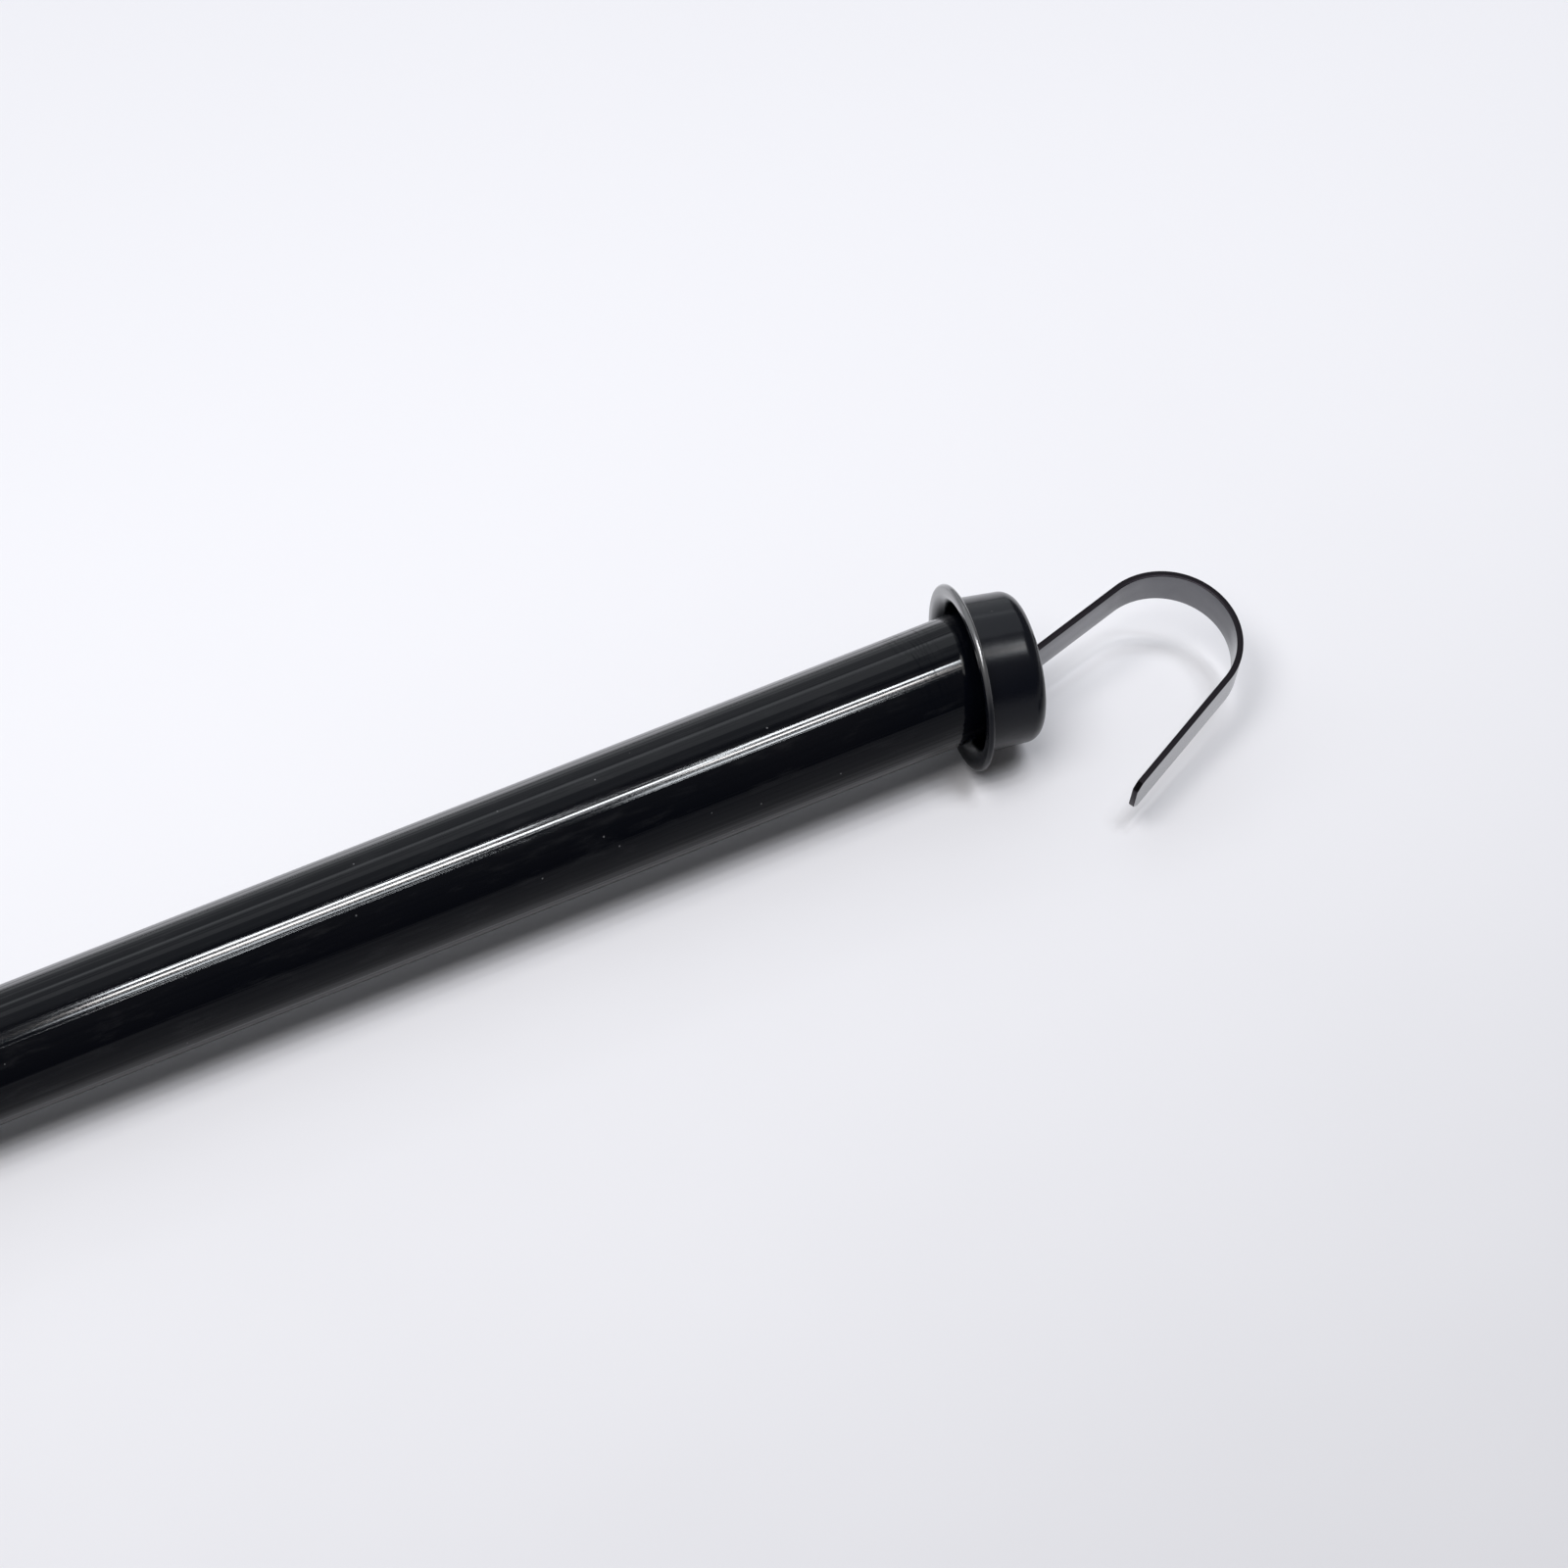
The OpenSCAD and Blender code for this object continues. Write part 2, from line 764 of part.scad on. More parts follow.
module rubber_sole() {
    // An even number of grooves leaves a land on the centre line
    grooves = 6;
    land = sole_h / (grooves + 1);
    groove_w = land * 0.4;
    color("#101012")
        difference() {
            slab(0, sole_t + plate_t, sole_w, sole_h, sole_corner_r);
            slab(sole_t, plate_t + past, plate_w + 2 * fixed_gap, plate_h + 2 * fixed_gap,
                 plate_corner_r);
            for (i = [0 : grooves - 1])
                translate([-past, -sole_w / 2 - past, (i - (grooves - 1) / 2) * land - groove_w / 2])
                    cube([tread_depth + past, sole_w + 2 * past, groove_w]);
            each_bracket_rivet()
                rod_x(sole_t - rivet_head_t - rivet_seat_gap, rivet_head_r + rivet_seat_gap, sole_t);
        }
}

module pivot_bolt() {
    color("#a9acb1")
        translate([pivot_x, 0, 0])
            union() {
                rod_y(-stack_y - 1, stack_y + nut_t + 2, bolt_r);
                translate([0, -stack_y, 0])
                    rotate([90, 0, 0])
                        cylinder(r = hex_r, h = head_t, $fn = 6);
            }
}

module pivot_nut() {
    color("#a9acb1")
        translate([pivot_x, stack_y, 0])
            rotate([-90, 0, 0])
                difference() {
                    cylinder(r = hex_r, h = nut_t, $fn = 6);
                    translate([0, 0, -past])
                        cylinder(r = bolt_r + fixed_gap, h = nut_t + 2 * past);
                }
}

module pivot_washers() {
    color("#b6b9bd")
        translate([pivot_x, 0, 0])
            for (side = [-1, 1])
                rotate([-90 * side, 0, 0])
                    translate([0, 0, ear_out_y])
                        difference() {
                            cylinder(r = hex_r + 0.6, h = washer_t);
                            translate([0, 0, -past])
                                cylinder(r = bolt_r + fixed_gap, h = washer_t + 2 * past);
                        }
}

outer_tube();
end_plug();
hook_strip();
shank_pins();
plug_screw();
retaining_clip();
end_cup();
guide_collar();
collar_screws();
inner_tube();
slide_bush();
snap_button();
button_spring();
foot_plug();
foot_rivet();
pivot_sleeve();
thrust_washers();
foot_bracket();
foot_plate();
bracket_rivets();
rubber_sole();
pivot_bolt();
pivot_nut();
pivot_washers();
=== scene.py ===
"""A telescopic door security bar: hook and loose cup at +X, rubber foot at -X."""
import json

import bmesh
import bpy
import numpy as np
from mathutils import Matrix, Vector


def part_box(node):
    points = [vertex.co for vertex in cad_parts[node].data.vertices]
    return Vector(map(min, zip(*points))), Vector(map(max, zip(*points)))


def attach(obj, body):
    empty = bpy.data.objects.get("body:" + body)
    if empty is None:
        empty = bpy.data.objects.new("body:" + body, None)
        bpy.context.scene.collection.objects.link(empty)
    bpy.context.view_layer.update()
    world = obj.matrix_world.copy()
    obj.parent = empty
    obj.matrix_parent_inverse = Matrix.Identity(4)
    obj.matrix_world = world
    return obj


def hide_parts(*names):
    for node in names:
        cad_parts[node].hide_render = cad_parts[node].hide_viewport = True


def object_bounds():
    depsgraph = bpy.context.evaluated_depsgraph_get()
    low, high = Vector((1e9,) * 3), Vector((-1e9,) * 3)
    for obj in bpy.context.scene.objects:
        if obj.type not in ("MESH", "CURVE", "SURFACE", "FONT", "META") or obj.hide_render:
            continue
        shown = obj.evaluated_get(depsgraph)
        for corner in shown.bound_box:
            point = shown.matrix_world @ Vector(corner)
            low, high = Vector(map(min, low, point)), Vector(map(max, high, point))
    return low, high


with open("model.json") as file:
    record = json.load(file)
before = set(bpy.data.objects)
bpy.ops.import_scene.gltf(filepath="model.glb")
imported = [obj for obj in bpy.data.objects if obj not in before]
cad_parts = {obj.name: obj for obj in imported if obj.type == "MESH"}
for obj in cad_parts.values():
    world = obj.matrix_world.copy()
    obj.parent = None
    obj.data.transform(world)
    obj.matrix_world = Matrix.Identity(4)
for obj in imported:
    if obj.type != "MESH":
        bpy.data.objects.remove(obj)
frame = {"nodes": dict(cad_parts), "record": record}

MM = 0.001
cad_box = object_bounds()

# ------------------------------------------------------------------ outer tube
# The long tube that carries the hook: drawn steel, 1.5 mm wall, with a row of
# punched holes for the locking button. Gloss black; its clear coat is put on the
# upper far side only, a painted sheen that leaves the lower near side's
# reflections darker. Fine draw lines run along it.


class Socket:
    """A value in a material: Python's operators on it add Math nodes."""

    def __init__(self, paint, link):
        self.paint = paint
        self.link = link

    def math(self, operation, *values):
        return self.paint.node("ShaderNodeMath", {"operation": operation}, *values)

    def __add__(self, other):
        return self.math("ADD", self, other)

    def __sub__(self, other):
        return self.math("SUBTRACT", self, other)

    def __rsub__(self, other):
        return self.math("SUBTRACT", other, self)

    def __mul__(self, other):
        return self.math("MULTIPLY", self, other)

    def __pow__(self, other):
        return self.math("POWER", self, other)

    def __neg__(self):
        return self.math("MULTIPLY", self, -1.0)

    def __abs__(self):
        return self.math("ABSOLUTE", self)

    __radd__ = __add__
    __rmul__ = __mul__

    def above(self, edge, soft):
        """0 under edge - soft, 1 over edge + soft, with a smooth step between."""
        return self.paint.node(
            "ShaderNodeMapRange", {"interpolation_type": "SMOOTHSTEP"}, self, edge - soft, edge + soft)


class Paint:
    """One material: a Principled shader and the nodes that vary it."""

    def __init__(self, name, colour, **fixed):
        self.material = bpy.data.materials.new(name)
        self.material.use_nodes = True
        self.nodes = self.material.node_tree.nodes
        self.shader = self.nodes["Principled BSDF"]
        self.set("Base Color", colour)
        for socket, value in fixed.items():
            self.set(socket.replace("_", " "), value)

    def set(self, socket, value):
        self.plug(self.shader.inputs[socket], value)

    def plug(self, entry, value):
        if isinstance(value, Socket):
            self.material.node_tree.links.new(value.link, entry)
        elif isinstance(value, tuple) and entry.type == "RGBA":
            entry.default_value = (*value, 1.0)
        else:
            entry.default_value = value

    def node(self, kind, settings=None, *values, out=0, **named):
        """Adds a node: its settings first, then its sockets in order or by name."""
        made = self.nodes.new(kind)
        for key, value in (settings or {}).items():
            setattr(made, key, value)
        open_entries = [e for e in made.inputs if e.enabled]
        for entry, value in zip(open_entries, values):
            if value is not None:
                self.plug(entry, value)
        for key, value in named.items():
            self.plug(made.inputs[key], value)
        return Socket(self, made.outputs[out])

    def place(self, scale=(1, 1, 1)):
        """Object coordinates in metres, scaled."""
        here = self.node("ShaderNodeTexCoord", out="Object")
        return self.node("ShaderNodeMapping", None, Vector=here, Scale=scale)

    def along(self, place, direction):
        """Distance along a unit direction, in metres."""
        return self.node("ShaderNodeVectorMath", {"operation": "DOT_PRODUCT"}, place, tuple(direction),
                         out="Value")

    def noise(self, place, scale, detail=3.0, rough=0.5):
        return self.node("ShaderNodeTexNoise", None, Vector=place, Scale=scale, Detail=detail,
                         Roughness=rough)

    def specks(self, place, scale, size):
        """1 in small round spots, at most one to a cell, 0 elsewhere."""
        reach = self.node("ShaderNodeTexVoronoi", None, Vector=place, Scale=scale)
        return 1 - reach.above(size, size * 0.4)

    def mix(self, share, first, second):
        return self.node("ShaderNodeMix", {"data_type": "RGBA"}, share, first, second, out=2)

    def bump(self, height, strength, distance):
        ridge = self.node("ShaderNodeBump", None, Height=height, Strength=strength, Distance=distance)
        self.set("Normal", ridge)

    def wear(self, node):
        """Puts this material on a CAD node that is shown as it is."""
        slots = frame["nodes"][node].data.materials
        slots.clear()
        slots.append(self.material)


def close_grid(rows, columns, wrap_rows, wrap_columns, first=0):
    """Quads of a rows by columns grid of points, joined round where it wraps."""
    down = np.arange(rows if wrap_rows else rows - 1)
    across = np.arange(columns if wrap_columns else columns - 1)
    r, c = (a.ravel() for a in np.meshgrid(down, across, indexing="ij"))
    r2, c2 = (r + 1) % rows, (c + 1) % columns
    return first + np.stack([r * columns + c, r * columns + c2, r2 * columns + c2, r2 * columns + c], 1)


def make_piece(name, points, faces, paint, body, stands_for, crease):
    """A mesh object from points in mm, shaded smooth up to the crease angle in degrees."""
    mesh = bpy.data.meshes.new(name)
    mesh.from_pydata((np.asarray(points) * MM).tolist(), [], [tuple(f) for f in faces])
    shell = bmesh.new()
    shell.from_mesh(mesh)
    bmesh.ops.remove_doubles(shell, verts=shell.verts, dist=1e-7)
    bmesh.ops.recalc_face_normals(shell, faces=shell.faces)
    shell.to_mesh(mesh)
    shell.free()
    piece = bpy.data.objects.new(name, mesh)
    bpy.context.scene.collection.objects.link(piece)
    mesh.shade_smooth()
    mesh.set_sharp_from_angle(angle=np.radians(crease))
    mesh.materials.append(paint.material)
    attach(piece, body)
    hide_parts(*stands_for)


def round_the_bar(x, radius, angle):
    """Points at distance radius from the bar's axis, angle from +Y towards +Z."""
    x, radius, angle = np.broadcast_arrays(x, radius, angle)
    return np.stack([x, radius * np.cos(angle), radius * np.sin(angle)], -1)


def pierced_skin(x, radius, holes, around, first):
    """A skin round the bar through stations x, with round holes in it.

    The skin is the grid (x, angle). A hole is its place along the bar, its angle
    in degrees, its radius, and the half length and half width in cells of its
    block. The block's cells give way to rings that blend from its border to a
    circle of the hole's radius, drawn on the skin flattened out. Returns points,
    faces and each hole's rim.
    """
    turn = 2 * np.pi * np.arange(around) / around
    points = [round_the_bar(x[:, None], radius[:, None], turn[None, :]).reshape(-1, 3)]
    kept = np.ones((len(x) - 1, around), bool)
    count = len(x) * around
    faces, rims = [], []
    for centre, degrees, hole_r, reach, cells in holes:
        row = np.flatnonzero(np.abs(x - centre) <= reach + 1e-6)
        spot = int(round(degrees / 360 * around))
        r0, r1, c0, c1 = row[0], row[-1], spot - cells, spot + cells
        kept[np.ix_(np.arange(r0, r1), np.arange(c0, c1) % around)] = False
        rr = np.concatenate([np.arange(r0, r1), np.full(c1 - c0, r1),
                             np.arange(r1, r0, -1), np.full(c1 - c0, r0)])
        cc = np.concatenate([np.full(r1 - r0, c0), np.arange(c0, c1),
                             np.full(r1 - r0, c1), np.arange(c1, c0, -1)])
        border = rr * around + cc % around
        skin_r = radius[r0]
        along = x[rr] - centre
        over = (cc - spot) * 2 * np.pi / around * skin_r
        phi = np.arctan2(over, along)
        circle = np.stack([hole_r * np.cos(phi), skin_r * np.arcsin(hole_r * np.sin(phi) / skin_r)], 1)
        share = np.array([0.3, 0.6, 0.82, 1.0])[:, None, None]
        rings = (1 - share) * np.stack([along, over], 1)[None] + share * circle[None]
        points.append(round_the_bar(centre + rings[..., 0], skin_r,
                                    np.radians(degrees) + rings[..., 1] / skin_r).reshape(-1, 3))
        n = len(border)
        loop = np.concatenate([[border], count + np.arange(4 * n).reshape(4, -1)])
        count += 4 * n
        step = np.roll(np.arange(n), -1)
        for inner, outer in zip(loop[1:], loop[:-1]):
            faces.append(np.stack([outer, outer[step], inner[step], inner], 1))
        rims.append((first + loop[-1], phi, centre, np.radians(degrees)))
    grid = close_grid(len(x), around, False, True)
    faces.insert(0, grid[kept.ravel()])
    return np.concatenate(points), np.concatenate(faces) + first, rims


def hole_loop(rim, hole_r, skin_r, depth=0.0, level=None):
    """A hole's wall at a depth below the skin, or at a level over the bar's axis."""
    _, phi, centre, facing = rim
    over = hole_r * np.sin(phi)
    up = np.sqrt(skin_r ** 2 - over ** 2) - depth if level is None else level + 0 * over
    return np.stack([centre + hole_r * np.cos(phi),
                     up * np.cos(facing) - over * np.sin(facing),
                     up * np.sin(facing) + over * np.cos(facing)], 1)


def join_loops(loops):
    """Quads between rows of vertex numbers that run the same way round."""
    step = np.roll(np.arange(len(loops[0])), -1)
    return np.concatenate([np.stack([a, a[step], b[step], b], 1) for a, b in zip(loops[:-1], loops[1:])])


def pierced_tube(x_out, r_out, x_in, r_in, holes, around, inner_holes=None, rim=0.25, seat=()):
    """A tube's outer and inner skins, its two ends and its holes' walls, as one shell.

    A seat lists the (radius, level) of each step that a hole takes on its way in.
    """
    flared = [(c, degrees, hole_r + rim, reach, cells) for c, degrees, hole_r, reach, cells in holes]
    out_points, out_faces, out_rims = pierced_skin(x_out, r_out, flared, around, 0)
    points, faces = [out_points], [out_faces]
    count = len(out_points)
    in_points, in_faces, in_rims = pierced_skin(x_in, r_in, inner_holes or holes, around, count)
    points.append(in_points)
    faces.append(in_faces)
    lap_in = count
    count += len(in_points)
    turn = np.arange(around)
    for a, b in ((0, lap_in), ((len(x_out) - 1) * around, lap_in + (len(x_in) - 1) * around)):
        faces.append(join_loops([a + turn, b + turn]))
    for (centre, degrees, hole_r, _, _), outer, inner in zip(holes, out_rims, in_rims):
        steps = [hole_loop(outer, hole_r, np.interp(centre, x_out, r_out), rim)]
        steps += [hole_loop(outer, step_r, None, level=level) for step_r, level in seat]
        points += steps
        rows = count + np.arange(len(steps) * len(steps[0])).reshape(len(steps), -1)
        count += rows.size
        faces.append(join_loops([outer[0], *rows, inner[0]]))
    return np.concatenate(points), np.concatenate(faces)


outer_r, outer_bore = 16.0, 14.5
tube_x0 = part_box("outer_tube")[0].x / MM
tube_x1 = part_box("outer_tube")[1].x / MM
lock_holes = [179, 219, 259, 299, 339, 379, 419]
ROUND = 180


def stations(x0, x1, step, holes):
    """Stations along a tube: an even step, and close ones across each hole's block."""
    plain = np.linspace(x0, x1, int((x1 - x0) / step) + 2)
    near = [np.linspace(c - w, c + w, 2 * k + 1) for c, _, _, w, k in holes]
    far = [p for p in plain if all(abs(p - c) > w + 0.5 for c, _, _, w, k in holes)]
    return np.unique(np.round(np.concatenate([far, [x0, x1], *near]), 4))


button_hole_r, pilot_r = 4.25, 1.78
button_reach, pilot_reach = 6.3, 2.8
collar_screw_x, plug_screw_x, plug_screw_angle = round(tube_x0 + 8, 4), round(tube_x1 - 17, 4), 284
tube_holes = [(c, 90, button_hole_r, button_reach, 11) for c in lock_holes]
tube_holes += [(c, degrees, pilot_r, pilot_reach, 5) for c, degrees in (
    (collar_screw_x, 0), (collar_screw_x, 180), (plug_screw_x, plug_screw_angle))]
edge = 0.35
x_skin = stations(tube_x0 + edge, tube_x1 - edge, 12, tube_holes)
x_tube = np.concatenate([[tube_x0, tube_x0 + edge * 0.3], x_skin, [tube_x1 - edge * 0.3, tube_x1]])
r_tube = np.concatenate([[outer_r - edge, outer_r - edge * 0.3], np.full(len(x_skin), outer_r),
                         [outer_r - edge * 0.3, outer_r - edge]])
x_bore = np.concatenate([[tube_x0], x_skin, [tube_x1]])
r_bore = np.full(len(x_bore), outer_bore)

gloss = Paint("gloss_black_paint", (0.003, 0.003, 0.0035), IOR=1.2, Coat_IOR=1.45, Coat_Roughness=0.06)
here = gloss.place()
painted_sheen_side = gloss.along(here, (0.0, 0.707, 0.707))
lines = gloss.noise(gloss.place(scale=(0.8, 620, 620)), 1.0, 3.0, 0.6).above(0.52, 0.10)
along_bar = gloss.node("ShaderNodeSeparateXYZ", None, here, out=0)
nicks = gloss.noise(gloss.place(scale=(2600, 120, 120)), 1.0, 3.0, 0.6).above(0.58, 0.05)
scuff = nicks * (1 - abs(along_bar - (tube_x1 - 21) * MM).above(0.005, 0.002))
# Painted sheen: coat weight only over the upper far side, so the lower near side reflects darker.
gloss.set("Coat Weight", painted_sheen_side.above(0.0, 0.008) * (1 - lines * 0.72) * (1 - scuff * 0.7))
drawn = gloss.noise(gloss.place(scale=(2.5, 900, 900)), 1.0, 2.0, 0.5)
broad = gloss.noise(gloss.place(scale=(4, 160, 160)), 1.0, 2.0, 0.5)
peel = gloss.noise(here, 900.0, 2.0)
cloud = gloss.noise(here, 26.0, 3.0)
dust = gloss.specks(here, 150.0, 0.035)
film = gloss.noise(gloss.place(scale=(1, 5, 5)), 60.0, 5.0, 0.65).above(0.62, 0.12)
paint_colour = gloss.mix(cloud, (0.0006, 0.0013, 0.0032), (0.0026, 0.0028, 0.0045))
gloss.set("Base Color", gloss.mix(dust * 0.5 + film * 0.03, paint_colour, (0.22, 0.22, 0.23)))
gloss.set("Roughness", 0.05 + 0.05 * film + 0.4 * dust + 0.03 * cloud)
gloss.bump(drawn + broad * 3.0 + peel * 0.08, 1.0, 0.00009)

points, faces = pierced_tube(x_tube, r_tube, x_bore, r_bore, tube_holes, ROUND)
make_piece("tube_outer", points, faces, gloss, "bar", ["outer_tube"], crease=40)

# -------------------------------------------------------------------- end cup
# A shallow cup pressed from 1.2 mm sheet, with a wide brim and a slot through
# its closed end. It hangs loose on the tube's end. Satin black. A clear coat on
# its upper side and most on the brim's upper part is a painted sheen: the lower
# side reflects darker. The brim's edge is worn pale on its upper part only:
# real wear and a painted highlight.

hook_mount = next(m for m in frame["record"]["mounts"] if m["name"] == "hook_loop")
plane_n = np.array(hook_mount["axis"], float)
plane_n /= np.linalg.norm(plane_n)
plane_x = np.array([1.0, 0.0, 0.0])
plane_y = np.cross(plane_n, plane_x)
tube_in_cup = 9.0
mouth = np.array([tube_x1 - tube_in_cup, 0.0, 0.0])


def in_hook_plane(p):
    """Points given along the bar, across it and square to the hook's plane."""
    p = np.asarray(p, float)
    return mouth + p[..., :1] * plane_x + p[..., 1:2] * plane_y + p[..., 2:3] * plane_n


def arc(cx, cy, r, a0, a1, steps):
    """Points on a circle round (cx, cy) from angle a0 to a1 in degrees."""
    a = np.radians(np.linspace(a0, a1, steps + 1))
    return np.stack([cx + r * np.cos(a), cy + r * np.sin(a)], 1)


cup_tilt = 10.0
cup_bore, cup_wall, cup_depth, cup_draft = 18.6, 1.2, 17.7, 0.5
cup_corner, brim_r, brim_t, root_r, throat_r = 4.0, 23.98, 1.2, 1.2, 3.4
cup_r = cup_bore + cup_wall
cup_end = cup_r - cup_draft
leg_angle = 15.5
leg_exit = np.array([cup_depth * np.cos(np.radians(cup_tilt)), -3.5])
strip_w, strip_t, slot_gap = 11.3, 1.65, 0.45

# Half section of the cup as radius and depth, from the slot's outer edge over
# the wall, the brim and the mouth to the slot's inner edge
lip = 0.85
flat_out, flat_in = cup_end - cup_corner, cup_end - cup_corner
section = np.concatenate([
    arc(flat_out, cup_depth - cup_corner, cup_corner, 90, 0, 14),
    arc(cup_r + root_r, brim_t + root_r, root_r, 180, 270, 8),
    np.stack([np.linspace(cup_r + root_r + 0.6, brim_r - lip - 0.3, 4), np.full(4, brim_t)], 1),
    arc(brim_r - lip, lip, lip, 90, -90, 10),
    np.stack([np.linspace(brim_r - lip - 0.6, cup_bore + throat_r + 0.5, 4), np.zeros(4)], 1),
    arc(cup_bore + throat_r, throat_r, throat_r, 270, 180, 16),
    np.stack([np.full(5, cup_bore) - np.linspace(0.05, 0.4, 5), np.linspace(4, 12, 5)], 1),
    arc(flat_in, cup_depth - cup_corner, cup_corner - cup_wall, 0, 90, 10)])
cup_steps = 240
around = 2 * np.pi * np.arange(cup_steps) / cup_steps
cross = np.radians(leg_angle + cup_tilt)
slot_h = strip_t / np.cos(cross) + cup_wall * np.tan(cross) + 2 * slot_gap
tilt = np.radians(cup_tilt)
exit_u = leg_exit[0] * np.cos(tilt) - leg_exit[1] * np.sin(tilt)
exit_v = leg_exit[0] * np.sin(tilt) + leg_exit[1] * np.cos(tilt)
slot_v = exit_v - (exit_u - (cup_depth - cup_wall / 2)) * np.tan(cross)


def box_loop(half_v, half_n, corner, angle):
    """Where rays at these angles meet a superellipse whose power is corner: a rounded rectangle."""
    c, s = np.abs(np.cos(angle)) / half_v, np.abs(np.sin(angle)) / half_n
    reach = (c ** corner + s ** corner) ** (-1 / corner)
    return np.stack([reach * np.cos(angle), reach * np.sin(angle)], 1)


# Loops round the cup: each holds its depth, its two distances from the axis
slot_rim = box_loop(slot_h / 2, strip_w / 2 + slot_gap, 12, around) + [slot_v, 0]
slot_lip = box_loop(slot_h / 2 + 0.25, strip_w / 2 + slot_gap + 0.25, 12, around) + [slot_v, 0]
wheel = np.stack([np.cos(around), np.sin(around)], 1)
loops = [(cup_depth - 0.25, slot_rim), (cup_depth - 0.07, slot_rim * 0.6 + slot_lip * 0.4),
         (cup_depth, slot_lip)]
loops += [(cup_depth, slot_lip * (1 - share) + wheel * flat_out * share) for share in (0.25, 0.5, 0.75, 0.92)]
loops += [(d, r * wheel) for r, d in section]
loops += [(cup_depth - cup_wall, slot_rim * (1 - share) + wheel * flat_in * share)
          for share in (0.9, 0.7, 0.45, 0.2, 0.0)]
loops = np.array([np.column_stack([np.full(cup_steps, d), ring]) for d, ring in loops])
cup_points = np.stack([loops[..., 0] * np.cos(tilt) + loops[..., 1] * np.sin(tilt),
                       loops[..., 1] * np.cos(tilt) - loops[..., 0] * np.sin(tilt), loops[..., 2]], -1)

satin = Paint("satin_black_coat", (0.008, 0.0085, 0.0095), IOR=1.25, Coat_IOR=1.7,
              Coat_Roughness=0.14)
here = satin.place()
patch = satin.noise(here, 130.0, 3.0, 0.6)
grain = satin.noise(here, 2200.0, 2.0)
cloud = satin.noise(here, 45.0, 4.0, 0.6)
dust = satin.specks(here, 260.0, 0.03)
cup_axis = np.cos(tilt) * plane_x - np.sin(tilt) * plane_y
from_mouth = satin.node("ShaderNodeVectorMath", {"operation": "SUBTRACT"}, here, tuple(mouth * MM),
                        out="Vector")
depth = satin.along(from_mouth, cup_axis)
reach = satin.node("ShaderNodeVectorMath", {"operation": "LENGTH"}, from_mouth, out="Value")
off_axis = (reach * reach - depth * depth) ** 0.5
on_cup = 1 - off_axis.above((brim_r + 0.3) * MM, 0.1 * MM)
facing_up = satin.along(from_mouth, (0.0, 0.6, 0.8))
upper = facing_up.above(0.002, 0.009)
# Pale worn brim edge, kept to the upper side: real wear and a painted highlight.
rim_wear_and_highlight = off_axis.above((brim_r - 0.5) * MM, 0.3 * MM) * on_cup * upper
coat = satin.mix(cloud, (0.0022, 0.0030, 0.0060), (0.0044, 0.0052, 0.0085))
satin.set("Base Color", satin.mix(dust * 0.45, satin.mix(rim_wear_and_highlight, coat, (0.16, 0.16, 0.165)), (0.2, 0.2, 0.21)))
satin.set("Metallic", rim_wear_and_highlight * 0.6)
# Painted sheen: coat on the brim's upper part and on the cup's upper side, so the lower side reflects darker.
brim_painted_sheen = off_axis.above((brim_r - 3.4) * MM, 1.2 * MM) * on_cup * upper
satin.set("Coat Weight", 1 - (1 - brim_painted_sheen) * (1 - facing_up.above(0.0, 0.004) * 0.4))
satin.set("Roughness", 0.18 + 0.13 * patch + 0.3 * dust)
satin.bump(patch * 0.8 + grain * 0.08, 0.25, 0.0005)
make_piece("cup_shell", in_hook_plane(cup_points).reshape(-1, 3),
           close_grid(len(loops), cup_steps, True, True), satin,
           "cup", ["end_cup"], crease=50)

# ----------------------------------------------------------------- hook strip
# Spring steel strip bent round formers into a J, paler towards the tip: rubbed
# wear and a painted reflection. Its cut edges are coloured dark, a painted shade.
# Its shank is pinned in a slot in the plug.

shank_y, shank_len, plug_face = -5.0, 32.0, tube_in_cup - 1.0
bend_r, curl_r, leg_len, tip_len, curl_turn = 2.825, 18.525, 30.7, 40.5, 168.3
tip_chamfer, strip_round = 2.0, 0.28
lean = np.radians(leg_angle)
knee_x = leg_exit[0] - (leg_exit[1] - shank_y) / np.tan(lean)
trim = bend_r * np.tan(lean / 2)
leg_dir = np.array([np.cos(lean), np.sin(lean)])
curl_start = leg_exit + leg_len * leg_dir
curl_mid = curl_start - curl_r * np.array([-leg_dir[1], leg_dir[0]])
tip_turn = leg_angle - curl_turn
tip_dir = np.array([np.cos(np.radians(tip_turn)), np.sin(np.radians(tip_turn))])
tip_start = curl_mid + curl_r * np.array([-tip_dir[1], tip_dir[0]])
tip_end = tip_start + tip_len * tip_dir


def run(a, b, count):
    """Even points from a to b, both ends counted."""
    return np.asarray(a)[None] + np.linspace(0, 1, count)[:, None] * (np.asarray(b) - np.asarray(a))[None]


knee_a = np.array([knee_x - trim, shank_y])
knee_b = np.array([knee_x, shank_y]) + trim * leg_dir
path = np.concatenate([
    run([plug_face - shank_len, shank_y], knee_a, 24)[:-1],
    arc(knee_a[0], knee_a[1] + bend_r, bend_r, -90, -90 + leg_angle, 5),
    run(knee_b, curl_start, 28)[1:-1],
    arc(*curl_mid, curl_r, 90 + leg_angle, 90 + tip_turn, 120),
    run(tip_start, tip_end - tip_chamfer * tip_dir, 34)[1:],
    [tip_end - tip_dir * t for t in (1.5, 1.0, 0.5, strip_round, strip_round * 0.3, 0.0)]])
heading = np.gradient(path, axis=0)
heading /= np.linalg.norm(heading, axis=1)[:, None]
side = np.stack([-heading[:, 1], heading[:, 0]], 1)

